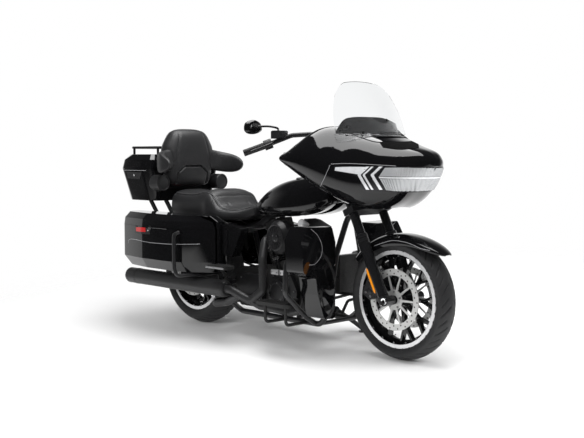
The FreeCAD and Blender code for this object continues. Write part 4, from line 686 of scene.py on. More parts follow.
class Skin:
    """Surface of some CAD nodes, for laying stripes and plates on it."""

    def __init__(self, *nodes: str) -> None:
        """Gather the nodes' triangles into one search tree."""
        points, faces, start = [], [], 0
        for node in nodes:
            mesh = frame["nodes"][node].data
            mesh.calc_loop_triangles()
            spots = np.zeros(len(mesh.vertices) * 3)
            corners = np.zeros(len(mesh.loop_triangles) * 3, np.int32)
            mesh.vertices.foreach_get("co", spots)
            mesh.loop_triangles.foreach_get("vertices", corners)
            points.append(spots.reshape(-1, 3))
            faces.append(corners.reshape(-1, 3) + start)
            start += len(mesh.vertices)
        self.tree = BVHTree.FromPolygons(np.concatenate(points).tolist(), np.concatenate(faces).tolist())

    def cast(self, starts: Array, ways: Array) -> tuple[Array, Array, Array]:
        """Where rays meet the surface.

        Args:
            starts: Start of each ray, in the row frame.
            ways: Direction of each ray, in the row frame.

        Returns:
            Places and normals against the rays, in the bike frame, and a mask of the rays that met it.
        """
        flat_starts, flat_ways = starts.reshape(-1, 3), ways.reshape(-1, 3)
        hits = [self.tree.ray_cast(Vector(start), Vector(way)) for start, way in zip(flat_starts, flat_ways)]
        met = np.array([hit[0] is not None for hit in hits])
        places = np.array([hit[0] if hit[0] is not None else (np.nan,) * 3 for hit in hits])
        normals = np.array([hit[1] if hit[1] is not None else (np.nan,) * 3 for hit in hits])
        facing = np.sum(normals * flat_ways, axis=1, keepdims=True)
        normals = STANCE.turn(np.where(facing > 0, -normals, normals), back=True)
        shape = starts.shape
        return STANCE.unplace(places).reshape(shape), normals.reshape(shape), met.reshape(shape[:-1])

    def seen(self, pixels: Array) -> tuple[Array, Array, Array]:
        """Where lines of sight through the photograph meet the surface."""
        ways = SIGHT.ways(pixels)
        return self.cast(np.broadcast_to(np.array(SIGHT.place), ways.shape), ways)

    def stripe(self, pixels: Pairs, width: float, count: int = 60) -> Shell:
        """Strip that lies on the surface along a line of the photograph."""
        places, normals, met = self.seen(smooth_path(pixels, count))
        return ribbon(places[met], soften(normals[met]), width)

    def strip(self, ends: Points, way: Point, width: float, count: int = 60, lift: float = 0.0006) -> Shell:
        """Strip that lies on the surface where a line of the bike frame, moved along a way, meets it."""
        line = STANCE.place(smooth_path(ends, count))
        places, normals, met = self.cast(line, STANCE.turn(np.broadcast_to(np.array(way, float), line.shape)))
        return ribbon(places[met], soften(normals[met]), width, lift)

    def screws(self, pixels: Pairs, radius: float, height: float, lift: float = 0.003) -> Shell:
        """Bolt heads that stand on the surface behind pixels of the photograph."""
        places, normals, met = self.seen(np.array(pixels))
        return Shell.join([bolt(place + way * lift, way, radius, height)
                           for place, way in zip(places[met], normals[met])])

    def plate(self, patch: Patch) -> Shell:
        """Closed plate on the surface, with ribs that follow the absolute value of a sine."""
        top, low = smooth_path(patch.upper, patch.columns), smooth_path(patch.lower, patch.columns)
        share = np.linspace(0, 1, patch.rows)[:, None, None]
        places, normals, met = self.seen(top + (low - top) * share)
        places, normals = fill_missing(places, met), fill_missing(normals, met)
        wave = np.abs(np.sin(np.linspace(0, np.pi * patch.ribs, patch.columns)))[None, :, None]
        return sheet(places + normals * wave * patch.rib_height, normals, patch.thickness, patch.lift)

    def plates(self, *patches: Patch) -> Shell:
        """Several plates and their mirror images."""
        return Shell.join([self.plate(patch) for patch in patches]).both()


def soften(ways: Array) -> Array:
    """Average each direction with its neighbours along a line."""
    padded = np.vstack([ways[:1], ways[:1], ways, ways[-1:], ways[-1:]])
    return unit(padded[:-4] + padded[1:-3] + padded[2:-2] + padded[3:-1] + padded[4:])


def fill_missing(values: Array, met: Array) -> Array:
    """Give each ray that met nothing the value of the nearest ray in the grid that met something."""
    rows, columns = np.nonzero(met)
    if len(rows) == 0:
        raise RuntimeError("no line of sight meets the surface")
    every = np.stack(np.meshgrid(np.arange(met.shape[0]), np.arange(met.shape[1]), indexing="ij"), axis=-1)
    far = np.abs(every[..., 0, None] - rows) + np.abs(every[..., 1, None] - columns)
    nearest = far.argmin(axis=-1)
    return values[rows[nearest], columns[nearest]]


# Wheels


@dataclass(frozen=True)
class Wheel:
    """One wheel: tyre with its tread, lip rings, spoke bolts, drilled discs and valve."""

    name: str
    body: Body
    centre: Point
    tyre_radius: float
    tyre_width: float
    crown_drop: float
    flange_radius: float
    seat_radius: float
    rim_half: float
    disc_radius: float
    disc_offsets: tuple[float, ...]
    pitch_count: int = 36
    rows: int = 940
    groove_depth: float = 0.006
    groove_width: float = 0.0075
    groove_slant: float = 1.35
    groove_bend: float = 1.3
    wall_bend: float = 1.6
    wall_swell: float = 0.0015
    wall_ring_height: float = 0.0006
    wall_ring_pitch: float = 900.0
    bead_drop: float = 0.004
    bead_inset: float = 0.009
    lip_depth: float = 0.008
    lip_chamfer: float = 0.0015
    lip_stand: float = 0.0009
    hole_count: int = 18
    hole_profile: Pairs = ((0.0042, -0.0003), (0.0042, 0.0001), (0.0030, 0.0002))
    disc_face: float = 0.00265
    carrier_radius: float = 0.043
    spoke_count: int = 9
    hub_ring_radius: float = 0.128
    hub_ring_half: float = 0.0155
    valve_profile: Pairs = ((0.0042, -0.004), (0.0042, 0.014), (0.003, 0.016), (0.003, 0.026), (0.0042, 0.027),
                            (0.0042, 0.034))
    valve_angle: float = 2.2
    valve_drop: float = 0.028

    def tyre(self) -> Shell:
        """Tyre as one ring of sections.

        Returns:
            The shell: a crown arc with the radius of half width squared plus drop squared over twice the drop,
            bulged walls down to the beads, and slanted grooves sunk where a repeated phase of angle and width
            comes near a half.
        """
        half, drop = self.tyre_width / 2, self.crown_drop
        arc = (half ** 2 + drop ** 2) / (2 * drop)
        across = np.linspace(-half, half, 46)
        crown = self.tyre_radius - arc + np.sqrt(arc ** 2 - across ** 2)
        fall = np.linspace(0, 1, 9)[1:]
        wall = crown[-1] + (self.flange_radius + 0.0012 - crown[-1]) * fall
        aside = half + (self.rim_half - half) * fall ** self.wall_bend + self.wall_swell * np.sin(np.pi * fall)
        wall = np.append(wall, self.flange_radius - self.bead_drop)
        aside = np.append(aside, self.rim_half - self.bead_inset)
        radius = np.concatenate([wall[::-1], crown, wall])
        place = np.concatenate([-aside[::-1], across, aside])
        share = np.abs(place) / half
        turns = angles(self.rows)[:, None] * self.pitch_count / (2 * np.pi)
        turns = turns + self.groove_slant * share ** self.groove_bend + np.where(place < 0, 0.5, 0.0)
        pitch = 2 * np.pi * self.tyre_radius / self.pitch_count
        off = np.abs(turns % 1.0 - 0.5) * pitch / self.groove_width
        long = ramp(share, 0.10, 0.16) * ramp(share, 0.93, 0.83)
        every_other = np.where(turns % 2.0 > 1.0, ramp(share, 0.35, 0.41), 1.0)
        on_crown = np.abs(place) < half * 0.999
        sunk = self.groove_depth * np.clip(1.25 - off, 0, 1) * long * every_other * on_crown
        rings = self.wall_ring_height * np.where(~on_crown, np.sin(radius * self.wall_ring_pitch), 0.0)
        return hoop(self.centre, radius - sunk + rings, place, self.rows)

    def lip(self, side: int) -> Shell:
        """Bright ring on the rim's edge: a rounded band turned round the axle."""
        inner, outer, face = self.seat_radius - 0.0075, self.flange_radius + 0.0002, self.rim_half + self.lip_stand
        foot, shoulder = face - self.lip_depth, face - self.lip_chamfer
        radius, height = np.array([(inner, foot), (inner, shoulder), (inner + self.lip_chamfer, face),
                                   (outer - self.lip_chamfer, face), (outer, shoulder), (outer, foot)]).T
        return hoop(self.centre, radius, side * height, 160)

    def drilled(self) -> Shell:
        """Rows of drilled holes on both faces of each disc, shown as sunk dark cups: painted shade in place of the
        bores.
        """
        x, _y, z = self.centre
        return Shell.join([
            turned(self.hole_profile, spot, (0, face, 0), 12)
            for offset in self.disc_offsets for face in (-1, 1)
            for share, start in ((0.94, 0.0), (0.85, np.pi / self.hole_count))
            for spot in round_places((x, offset + face * self.disc_face, z), self.disc_radius * share,
                                     self.hole_count, start)])

    def heads(self) -> Shell:
        """Bolt heads where the spokes meet the rim and the hub."""
        x, y, z = self.centre
        groups = []
        for side in (-1, 1):
            rim = (x, y + side * (self.rim_half - 0.0005), z)
            spots = round_places(rim, self.seat_radius - 0.0145, self.spoke_count * 2, 0.12)
            groups.append(bolts(spots, (0, side, 0), 0.0042))
            hub = (x, y + side * self.hub_ring_half, z)
            groups.append(bolts(round_places(hub, self.hub_ring_radius, self.spoke_count), (0, side, 0), 0.0045))
        return Shell.join(groups)

    def carrier_bolts(self) -> Shell:
        """Bolts that hold each disc to its hub."""
        x, _y, z = self.centre
        sides = [(offset, 1 if offset > 0 else -1) for offset in self.disc_offsets]
        return Shell.join([bolts(round_places((x, offset + face * 0.0027, z), self.carrier_radius, 5, 0.3),
                                 (0, face, 0), 0.0052, 0.005) for offset, face in sides])

    def valve(self) -> Shell:
        """Valve stem that stands inwards from the well of the rim."""
        x, y, z = self.centre
        far = self.seat_radius - self.valve_drop
        base = (x + far * math.cos(self.valve_angle), y, z + far * math.sin(self.valve_angle))
        return turned(self.valve_profile, base, (x - base[0], 0, z - base[2]), 12)

    def build(self) -> None:
        """Make every piece of the wheel."""
        make_piece(self.name + "_tyre_tread", self.tyre(), TYRE_BLACK, self.body, (self.name + "_tyre",), 60.0)
        dress(GLOSS_BLACK, self.name + "_rim")
        make_piece(self.name + "_rim_lips", Shell.join([self.lip(-1), self.lip(1)]), LIP_BRIGHT, self.body)
        make_piece(self.name + "_spoke_bolts", self.heads(), SCREW_STEEL, self.body)
        # Disc holes are dark cups of painted shade.
        make_piece(self.name + "_disc_holes", self.drilled(), HOLE_PAINTED_SHADE, self.body)
        make_piece(self.name + "_disc_bolts", self.carrier_bolts(), SCREW_STEEL, self.body)
        make_piece(self.name + "_valve", self.valve(), RUBBER_BLACK, self.body)


FRONT_WHEEL = Wheel("front", Body.FRONT_WHEEL, (1.625, 0.0, 0.319), 0.319, 0.130, 0.030, 0.255, 0.241, 0.051, 0.160,
                    (0.066, -0.066))
REAR_WHEEL = Wheel("rear", Body.REAR_WHEEL, (0.0, 0.0, 0.3275), 0.3275, 0.180, 0.042, 0.2425, 0.2285, 0.076, 0.150,
                   (-0.098,))


# Steering


@dataclass(frozen=True)
class Steering:
    """Fork, fender, bar and what they carry. Forms on the right are mirrored to the left."""

    rake_degrees: float = 26.0
    foot_x: float = 1.795
    setback: float = 0.034
    track: float = 0.118
    slider_radius: float = 0.031
    axle_end: Point = (1.625, -0.150, 0.319)
    axle_profile: Pairs = ((0.0085, 0.0), (0.0085, 0.004), (0.011, 0.0055), (0.017, 0.0055), (0.019, 0.003),
                           (0.019, 0.0))
    reflector_low: float = 0.362
    reflector_high: float = 0.487
    reflector_way: Point = (-0.62, -0.78, -0.30)
    collar_sizes: Pairs = ((0.640, 0.0325), (0.618, 0.0318), (0.330, 0.0318))
    grip_end: Point = (0.890, -0.446, 1.072)
    grip_root: Point = (0.992, -0.314, 1.132)
    grip_share: float = 0.655
    grip_radius: float = 0.0178
    grip_rib: float = 0.0011
    grip_rib_count: int = 17
    weight_radius: float = 0.0155
    mirror_outline: Pairs = ((-0.362, 1.192), (-0.400, 1.175), (-0.450, 1.174), (-0.480, 1.190), (-0.481, 1.222),
                             (-0.462, 1.240), (-0.415, 1.250), (-0.374, 1.236), (-0.360, 1.212))
    mirror_shell: Pairs = ((0.9305, 0.90), (0.9302, 0.96), (0.934, 0.995), (0.941, 0.97), (0.948, 0.86),
                           (0.953, 0.66), (0.9555, 0.40), (0.956, 0.02))
    mirror_glass: Pairs = ((0.9302, 0.94), (0.9296, 0.93), (0.9294, 0.5), (0.9294, 0.02))
    mirror_stem: Points = ((1.000, -0.296, 1.186), (0.998, -0.300, 1.206), (0.975, -0.345, 1.216),
                           (0.952, -0.402, 1.214))
    mirror_stem_radius: float = 0.0058
    reservoir_bolts: Points = ((0.988, -0.322, 1.190), (1.030, -0.322, 1.190), (0.988, -0.270, 1.190),
                               (1.030, -0.270, 1.190))
    clamp_bolts: Points = ((1.002, -0.268, 1.178), (1.002, -0.268, 1.160))
    lid_ends: Points = ((1.009, -0.328, 1.1915), (1.009, -0.264, 1.1915))
    button_places: Points = ((0.952, -0.352, 1.128), (0.946, -0.366, 1.122), (0.962, -0.344, 1.134))
    button_profile: Pairs = ((0.006, -0.004), (0.006, 0.002), (0.0045, 0.0035))
    fender_stripe: Pairs = ((374, 246), (384, 242.5), (394, 240.5), (408, 243), (421, 248.5), (430, 250.4))
    caliper_degrees: float = 157.0
    caliper_radius: float = 0.136
    caliper_face: float = -0.110
    caliper_bolts: Pairs = ((0.018, 0.034), (0.018, -0.034), (-0.018, 0.04), (-0.018, -0.04))
    piston_steps: tuple[float, float] = (-0.020, 0.020)
    piston_profile: Pairs = ((0.017, -0.001), (0.017, 0.002), (0.014, 0.004), (0.005, 0.004))

    def leg(self, height: float) -> Array:
        """Place on the right fork leg's axis."""
        rake = math.radians(self.rake_degrees)
        return np.array([self.foot_x - self.setback / math.cos(rake) - height * math.tan(rake), -self.track, height])

    def reflectors(self) -> Shell:
        """Amber bars on the outer rear side of both sliders: a soft box carried along the leg. Their finish glows a
        little, a painted highlight on parts that are no lamp.
        """
        rearward = unit(np.array(self.reflector_way))
        stand = rearward * (self.slider_radius + 0.0015)
        path = np.linspace(self.leg(self.reflector_low), self.leg(self.reflector_high), 14) + stand
        swell = np.clip(np.sin(np.linspace(0.05, np.pi - 0.05, 14)) * 3, 0, 1)[:, None, None]
        return sweep(path, soft_box(0.025, 0.011) * swell, rearward).both()

    def collars(self) -> Shell:
        """Seal collars at the top of both sliders and rings at their feet."""
        rake = math.radians(self.rake_degrees)
        up = (-math.sin(rake), 0, math.cos(rake))
        return Shell.join([
            turned(((size - 0.003, -0.010), (size, -0.008), (size, 0.006), (size - 0.004, 0.010)), self.leg(height),
                   up, 32) for height, size in self.collar_sizes]).both()

    def axle_ends(self) -> Shell:
        """Bright rings round the hollow axle's ends."""
        radius, height = np.array(self.axle_profile).T
        return hoop(self.axle_end, radius, -height, 36).both()

    def grips(self) -> Shell:
        """Ribbed grips: a round profile whose radius waves along the bar, with an end weight."""
        start, end = np.array(self.grip_root), np.array(self.grip_end)
        path = np.linspace(end + (start - end) * self.grip_share, end, 90)
        share = np.linspace(0, 1, 90)
        wave = np.sign(np.sin(share * 2 * np.pi * self.grip_rib_count)) * (share > 0.06) * (share < 0.95)
        radius = np.where(share > 0.975, self.weight_radius, self.grip_radius + self.grip_rib * wave)
        return sweep(path, circle(1.0, 28) * radius[:, None, None]).both()

    def mirrors(self) -> None:
        """Teardrop mirror shells on their stems, with the glass behind them."""
        outline = smooth_path(self.mirror_outline, 64, closed=True)
        middle = outline.mean(axis=0)
        shell, glass = [
            grid(np.stack([np.column_stack([np.full(64, x), middle + (outline - middle) * share])
                           for x, share in rings]), wrap_columns=True, caps=True)
            for rings in (self.mirror_shell, self.mirror_glass)]
        stem = sweep(smooth_path(self.mirror_stem, 30), circle(self.mirror_stem_radius, 14))
        make_piece("mirror_shells", Shell.join([shell, stem]).both(), GLOSS_BLACK, Body.STEERING, ("mirrors",))
        make_piece("mirror_glasses", glass.both(), MIRROR_GLASS, Body.STEERING)

    def controls(self) -> None:
        """Switches, reservoir lids and clamp bolts on the bar."""
        heads = [bolts(self.reservoir_bolts, UPWARD, 0.0042, 0.003),
                 bolts(self.clamp_bolts, (0.3, 1, 0), 0.004, 0.003)]
        make_piece("reservoir_bolts", Shell.join(heads).both(), SCREW_STEEL, Body.STEERING)
        lid = bar(*self.lid_ends, soft_box(0.056, 0.005), 8)
        make_piece("reservoir_lids", lid.both(), SATIN_BLACK, Body.STEERING)
        buttons = [turned(self.button_profile, place, (-0.6, 0.25, 0.75), 16) for place in self.button_places]
        make_piece("switch_buttons", Shell.join(buttons).both(), PLASTIC_BLACK, Body.STEERING)

    def caliper_details(self) -> None:
        """Bolts and piston caps on the calipers."""
        angle = math.radians(self.caliper_degrees)
        out = np.array([math.cos(angle), 0, math.sin(angle)])
        along = np.array([-math.sin(angle), 0, math.cos(angle)])
        x, _y, z = FRONT_WHEEL.centre
        middle = np.array([x, self.caliper_face, z]) + out * self.caliper_radius
        heads = bolts([middle + out * a + along * b for a, b in self.caliper_bolts], RIGHTWARD, 0.0065, 0.005)
        caps = [turned(self.piston_profile, middle + along * step, RIGHTWARD, 28) for step in self.piston_steps]
        make_piece("caliper_bolts", heads.both(), SCREW_STEEL, Body.STEERING)
        make_piece("caliper_piston_caps", Shell.join(caps).both(), SATIN_BLACK, Body.STEERING)

    def build(self) -> None:
        """Make every piece of the steering."""
        body = Body.STEERING
        dress(SATIN_BLACK, "yokes", "handlebar", "hand_controls", "front_calipers")
        dress(FORK_BLACK, "fork_legs")
        dress(GLOSS_BLACK, "front_fender")
        # The reflectors' glow is a painted highlight.
        make_piece("fork_reflectors", self.reflectors(), AMBER_LENS_PAINTED_GLOW, body)
        make_piece("fork_collars", self.collars(), SATIN_BLACK, body)
        make_piece("front_axle_rings", self.axle_ends(), CHROME, body)
        make_piece("grip_rubbers", self.grips(), RUBBER_BLACK, body, sharp_degrees=30)
        self.mirrors()
        self.controls()
        line = Skin("front_fender").stripe(self.fender_stripe, 0.0030, 90)
        make_piece("fender_pinstripes", line.both(), STRIPE_GREY, body)
        self.caliper_details()


# Fairing


@dataclass(frozen=True)
class Fairing:
    """Fairing shell, screen, lamp and lower pods. Lines of pixels lie on the side that the photograph shows."""

    screen_wall: float = 0.004
    screen_bow: float = 0.10
    screen_way: Point = (0.62, 0, 0.78)
    rows: int = 44
    columns: int = 60
    band: Patch = Patch(
        ((336, 131), (343, 120.5), (352, 117.5), (368, 117.5), (384, 119), (400, 127), (415, 137)),
        ((336, 132.5), (350, 134), (362, 138), (376, 142), (392, 142), (404, 142), (417, 141)),
        0.0022, 0.0009, 16, 60)
    band_screws: Pairs = ((347, 127), (363, 133), (386, 120.5), (384, 134), (409, 135))
    mouth: Patch = Patch(((377, 138.4), (396, 137.6), (418, 138.6)), ((383, 147.6), (400, 149.6), (419, 148)),
                         0.0015, 0.0003, 10, 40)
    brow: Patch = Patch(((375.4, 136.4), (396, 135.6), (419, 136.8)), ((376.4, 138.6), (396, 137.8), (419.5, 138.9)),
                        0.009, 0.0003, 4, 40)
    lamp_panel: Patch = Patch(
        ((334, 166), (366, 166.3), (400, 166.6), (432, 166.6)),
        ((333.8, 171.4), (356, 176.4), (362, 185), (366, 190), (392, 192), (424, 191)), 0.0006, 0.0002, 16, 70)
    hook: Pairs = ((366, 166.8), (360, 172.4), (357.6, 174.8), (359, 178), (366, 189.4))
    hook_steps: Points = ((0.4, 3.4, 0.0030), (5.4, 7.6, 0.0026), (13.4, 16.6, 0.0034))
    blade: Patch = Patch(((335.4, 167.4), (350, 167), (366, 167.2)), ((335, 170.6), (346, 172.4), (358, 174.4)),
                         0.003, 0.0006, 5, 24)
    upper_bank: Patch = Patch(((385, 168), (400, 167.8), (434.5, 167.8)), ((379.5, 176), (398, 176.4), (432, 176.2)),
                              0.002, 0.0006, 6, 200, 24, 0.003)
    lower_bank: Patch = Patch(((380, 178.8), (398, 178.8), (431.5, 178.4)), ((386, 189.6), (400, 190.6), (427, 190)),
                              0.002, 0.0006, 6, 200, 13, 0.004)
    centre_bar: Patch = Patch(((379, 176.6), (398, 176.9), (432, 176.6)),
                              ((379.4, 178.2), (398, 178.5), (431.6, 178.2)),
                              0.005, 0.0006, 4, 40)
    stripe_width: float = 0.0026
    lip_stripe: Pairs = ((331, 164), (345, 163.5), (362, 164), (378, 165), (396, 166))
    drop_stripe: Pairs = ((330, 165), (327, 172), (323, 181), (320, 187))
    pod_oval: Pairs = ((311, 229), (318, 236), (322, 246), (321, 256), (315, 264), (309, 265))
    pod_edge: Pairs = ((324, 225), (333, 224), (339, 231), (343, 241), (340, 256), (334, 266))
    fin_x: float = 1.2508
    fin_half: float = 0.076
    fin_levels: tuple[float, float] = (0.328, 0.512)
    fin_count: int = 26
    rod_x: float = 1.252
    rod_half: float = 0.078
    rod_levels: tuple[float, float] = (0.322, 0.518)
    dial_place: Point = (1.335, 0.155, 1.120)
    dial_profile: Pairs = ((0.040, 0.0), (0.040, 0.012), (0.036, 0.015), (0.033, 0.010), (0.010, 0.010))
    display_end: Point = (1.332, 0.085, 1.115)

    def screen(self) -> Shell:
        """Clear screen.

        Returns:
            The shell: a straight run from the foot line to the top line at each place across, bowed outwards by
            a tenth of a half sine, narrowed near its top so that its corners are round, and given a wall.
        """
        high = np.linspace(0.02, 1.0, self.rows)[:, None]
        narrow = 1 - 0.30 * (1 - np.sqrt(1 - ramp(high, 0.74, 1.0) ** 2))
        across = np.linspace(-1.0, 1.0, self.columns)[None, :] * narrow
        low = np.stack([1.545 - 0.135 * across ** 2, 0.278 * across, 1.160 + 0.008 * across ** 2], axis=-1)
        top = np.stack([1.322 + 0.008 * across ** 2, 0.190 * across, 1.450 - 0.022 * across ** 2], axis=-1)
        points = low + (top - low) * high[..., None]
        points[..., 1] *= 1 + self.screen_bow * np.sin(np.pi * high)
        return sheet(points, np.broadcast_to(unit(np.array(self.screen_way)), points.shape), self.screen_wall)

    def screen_trim(self) -> None:
        """Black band across the foot of the screen, its screws and the scoop below it, whose mouth is a near-black
        plate of painted shade.
        """
        skin = Skin("windshield", "fairing_outer")
        make_piece("screen_trim_band", skin.plate(self.band), GLOSS_BLACK)
        make_piece("screen_trim_screws", skin.screws(self.band_screws, 0.0075, 0.005), BLACK_SCREW)
        # The scoop's mouth is a near-black plate: painted shade in place of the opening.
        make_piece("scoop_mouth_painted_shade", skin.plate(self.mouth), OPENING_PAINTED_SHADE)
        make_piece("scoop_brow", skin.plate(self.brow), GLOSS_BLACK)

    def lamp(self) -> None:
        """Headlamp: dark bowl, bright blades and the optics between them."""
        dress(LAMP_DARK, "headlamp")
        skin = Skin("headlamp", "fairing_outer")
        chevrons = [Patch(tuple((x + near, y) for x, y in self.hook), tuple((x + far, y) for x, y in self.hook),
                          high, 0.0006, 5, 40) for near, far, high in self.hook_steps]
        make_piece("lamp_dark_panel", skin.plates(self.lamp_panel), LAMP_DARK)
        make_piece("lamp_blades", skin.plates(*chevrons, self.blade), LAMP_CHROME)
        make_piece("lamp_optics_bank", skin.plates(self.upper_bank, self.lower_bank), LAMP_GRID)
        make_piece("lamp_centre_bar", skin.plates(self.centre_bar), LAMP_CHROME)

    def stripes(self) -> None:
        """Pinstripes on the fairing and the pods."""
        upper, pods = Skin("fairing_outer", "headlamp"), Skin("lower_fairings")
        lines = [upper.stripe(self.lip_stripe, self.stripe_width, 60),
                 upper.stripe(self.drop_stripe, self.stripe_width, 30)]
        make_piece("fairing_pinstripes", Shell.join(lines).both(), STRIPE_GREY)
        lines = [pods.stripe(line, self.stripe_width, 70) for line in (self.pod_oval, self.pod_edge)]
        make_piece("pod_pinstripes", Shell.join(lines).both(), STRIPE_GREY)

    def cooler_fins(self) -> Shell:
        """Fins across the front of the oil cooler, between two upright rods."""
        fins = [bar((self.fin_x, -self.fin_half, z), (self.fin_x, self.fin_half, z), soft_box(0.0026, 0.0030, 8), 4)
                for z in np.linspace(*self.fin_levels, self.fin_count)]
        low, high = self.rod_levels
        rods = [bar((self.rod_x, y, low), (self.rod_x, y, high), soft_box(0.006, 0.006, 12), 4, FORWARD)
                for y in (-self.rod_half, self.rod_half)]
        return Shell.join(fins + rods)

    def dials(self) -> None:
        """Two dials and a flat display on the inner panel, facing the rider."""
        x, side, z = self.dial_place
        pods = [turned(self.dial_profile, (x, y, z), (-1, 0, 0.12), 40) for y in (-side, side)]
        make_piece("dial_pods", Shell.join(pods), SATIN_BLACK)
        x, side, z = self.display_end
        make_piece("rider_display", bar((x, -side, z), (x, side, z), soft_box(0.012, 0.090, 24, 7), 10), GLOSS_BLACK)

    def build(self) -> None:
        """Make every piece of the fairing."""
        dress(GLOSS_BLACK, "fairing_outer", sharp_degrees=40)
        dress(GLOSS_BLACK, "lower_fairings", sharp_degrees=28)
        dress(PLASTIC_BLACK, "fairing_inner", "wind_vent")
        dress(ENGINE_BLACK, "oil_cooler")
        make_piece("clear_windshield", self.screen(), SCREEN_CLEAR, nodes=("windshield",))
        self.screen_trim()
        self.lamp()
        self.stripes()
        make_piece("cooler_fins", self.cooler_fins(), SATIN_BLACK)
        self.dials()


# Seats


@dataclass(frozen=True)
class Seats:
    """Seat cushion and backrest, sculpted over their solids."""

    base: float = 0.6728
    ceiling: float = 0.858
    stations: tuple = ((-0.104, 0.176, 0.004, 0.842), (0.0, 0.188, 0, 0.834), (0.110, 0.190, 0, 0.836),
                       (0.200, 0.190, 0, 0.852), (0.262, 0.196, 0, 0.842), (0.340, 0.190, 0, 0.762),
                       (0.430, 0.160, 0, 0.742), (0.500, 0.105, 0.010, 0.752), (0.545, 0.062, 0.030, 0.770))
    section: Pairs = ((0, 1.0), (0.30, 1.0), (0.55, 0.975), (0.80, 0.90), (0.94, 0.74), (1.0, 0.50), (0.985, 0.26),
                      (0.9, 0.08), (0.7, 0.01), (0.35, 0.0), (0, 0.0))
    seam_depth: float = 0.0045
    pad_outline: Pairs = ((0.0, 0.862), (0.110, 0.862), (0.168, 0.890), (0.186, 0.990), (0.198, 1.085),
                          (0.175, 1.150), (0.118, 1.215), (0.0, 1.228))
    pad_middle: tuple[float, float] = (0.0, 1.030)
    pad_back: float = -0.1895
    pad_edge: float = 0.018
    pad_swell: float = 0.070
    groove_depth: float = 0.015
    wing_path: Points = ((-0.152, 0.090, 1.040), (-0.146, 0.165, 1.032), (-0.115, 0.240, 1.018),
                         (-0.050, 0.286, 1.006), (0.040, 0.296, 1.000))
    wing_height: float = 0.138
    wing_thickness: float = 0.070
    wing_fall: float = 0.020
    piping_path: Points = ((0.525, 0.062, 0.757), (0.470, 0.108, 0.738), (0.400, 0.140, 0.738), (0.345, 0.153, 0.756),
                           (0.300, 0.158, 0.806), (0.262, 0.157, 0.826), (0.200, 0.153, 0.836), (0.110, 0.152, 0.822),
                           (0.0, 0.151, 0.820), (-0.095, 0.143, 0.826))
    piping_radius: float = 0.0028

    def cushion(self) -> Shell:
        """Seat from its cross sections.

        Returns:
            The shell: smooth lines through the half width, floor and crown of each section, a rounded section
            between them, seams sunk as narrow dips and panels crowned by a half sine.
        """
        x, half, low, crown = smooth_path(self.stations, 150).T[..., None]
        full = self.section + tuple((-wide, up) for wide, up in self.section[-2:0:-1])
        wide, up = smooth_path(full, 132, closed=True).T
        up = np.clip(up, 0, 1)
        out, upper, top = np.abs(wide), up > 0.5, ramp(up, 0.55, 0.85)
        low = low + self.base
        z = low + (crown - low) * up
        seam = bell(out, 0.80, 0.030) * upper
        cross = bell(x, 0.292, 0.004) + bell(x, 0.150, 0.0035) * (out < 0.8)
        channel = bell(out, 0.42, 0.018) * ((x < 0.245) | (x > 0.32)) * (x < 0.50) * upper
        z = z + 0.0024 * np.cos(np.clip(wide / 0.8, -1, 1) * np.pi / 2) * top
        z = z - self.seam_depth * (seam + cross * top + channel * top)
        z = np.minimum(z + 0.012 * bell(x, 0.30, 0.035) * top * out ** 1.5, self.ceiling)
        y = half * wide
        return grid(np.stack([np.broadcast_to(x, y.shape), y, z], axis=-1), wrap_columns=True, caps=True)

    def pad_form(self) -> Shell:
        """Backrest pad: its outline drawn in towards its middle while it swells forward, with sunk seams."""
        other = tuple((-y, z) for y, z in self.pad_outline[-2:0:-1])
        outline = smooth_path(self.pad_outline + other, 168, closed=True)
        middle = np.array(self.pad_middle)
        front = np.linspace(1.0, 0.015, 46)[:, None]
        start, edge = self.pad_back, self.pad_back + self.pad_edge
        shares = np.concatenate([[[0.02], [0.98]], front])
        depth = np.concatenate([[[start], [start]], edge + self.pad_swell * (1 - front ** 5) ** 0.5])
        spots = middle + (outline - middle)[None] * shares[..., None]
        y, z = spots[..., 0], spots[..., 1]
        x = np.broadcast_to(depth, y.shape).copy()
        out, facing = np.abs(y), x > start + 0.06
        sides = bell(out, 0.118 - 0.055 * ramp(z, 0.950, 0.990), 0.0052) * (z < 0.992)
        crest = bell(z, 0.990, 0.0048) * (out < 0.066)
        shoulder = bell(out, 0.098 + 0.26 * np.clip(1.190 - z, 0, 1), 0.0060) * (z > 1.010)
        x -= facing * (self.groove_depth * np.clip(sides + crest, 0, 1) + 0.004 * shoulder)
        x += 0.006 * facing * bell(z, 1.09, 0.08) * bell(y, 0.0, 0.10)
        return grid(np.stack([x, y, z], axis=-1), wrap_columns=True, caps=True)

    def wing(self) -> Shell:
        """Side wing that curves forward: a soft box that shrinks along its path."""
        share = np.linspace(0, 1, 40)
        taper = np.sqrt(np.clip(1 - ramp(share, 0.55, 1.0) ** 2.4, 0.01, 1))
        fall = self.wing_fall * share
        sizes = np.stack([(self.wing_thickness - fall) * taper, (self.wing_height - fall) * taper], axis=-1)
        return sweep(smooth_path(self.wing_path, 40), soft_box(1.0, 1.0, 36, 3.0)[None] * sizes[:, None])

    def build(self) -> None:
        """Make the padded pieces and their piping."""
        wing = self.wing()
        for name, shell, nodes, fill in (("seat_cushion", self.cushion(), ("seat",), 0.8),
                                         ("backrest_pad", self.pad_form(), ("backrest",), 0.85),
                                         ("backrest_wing_left", wing, (), 0.8),
                                         ("backrest_wing_right", wing.mirrored(), (), 0.8)):
            make_piece(name, shell, VINYL_BLACK, nodes=nodes, sharp_degrees=80)
        piping = sweep(smooth_path(self.piping_path, 90), circle(self.piping_radius, 10))
        make_piece("seat_piping", piping.both(), THREAD)


# Engine


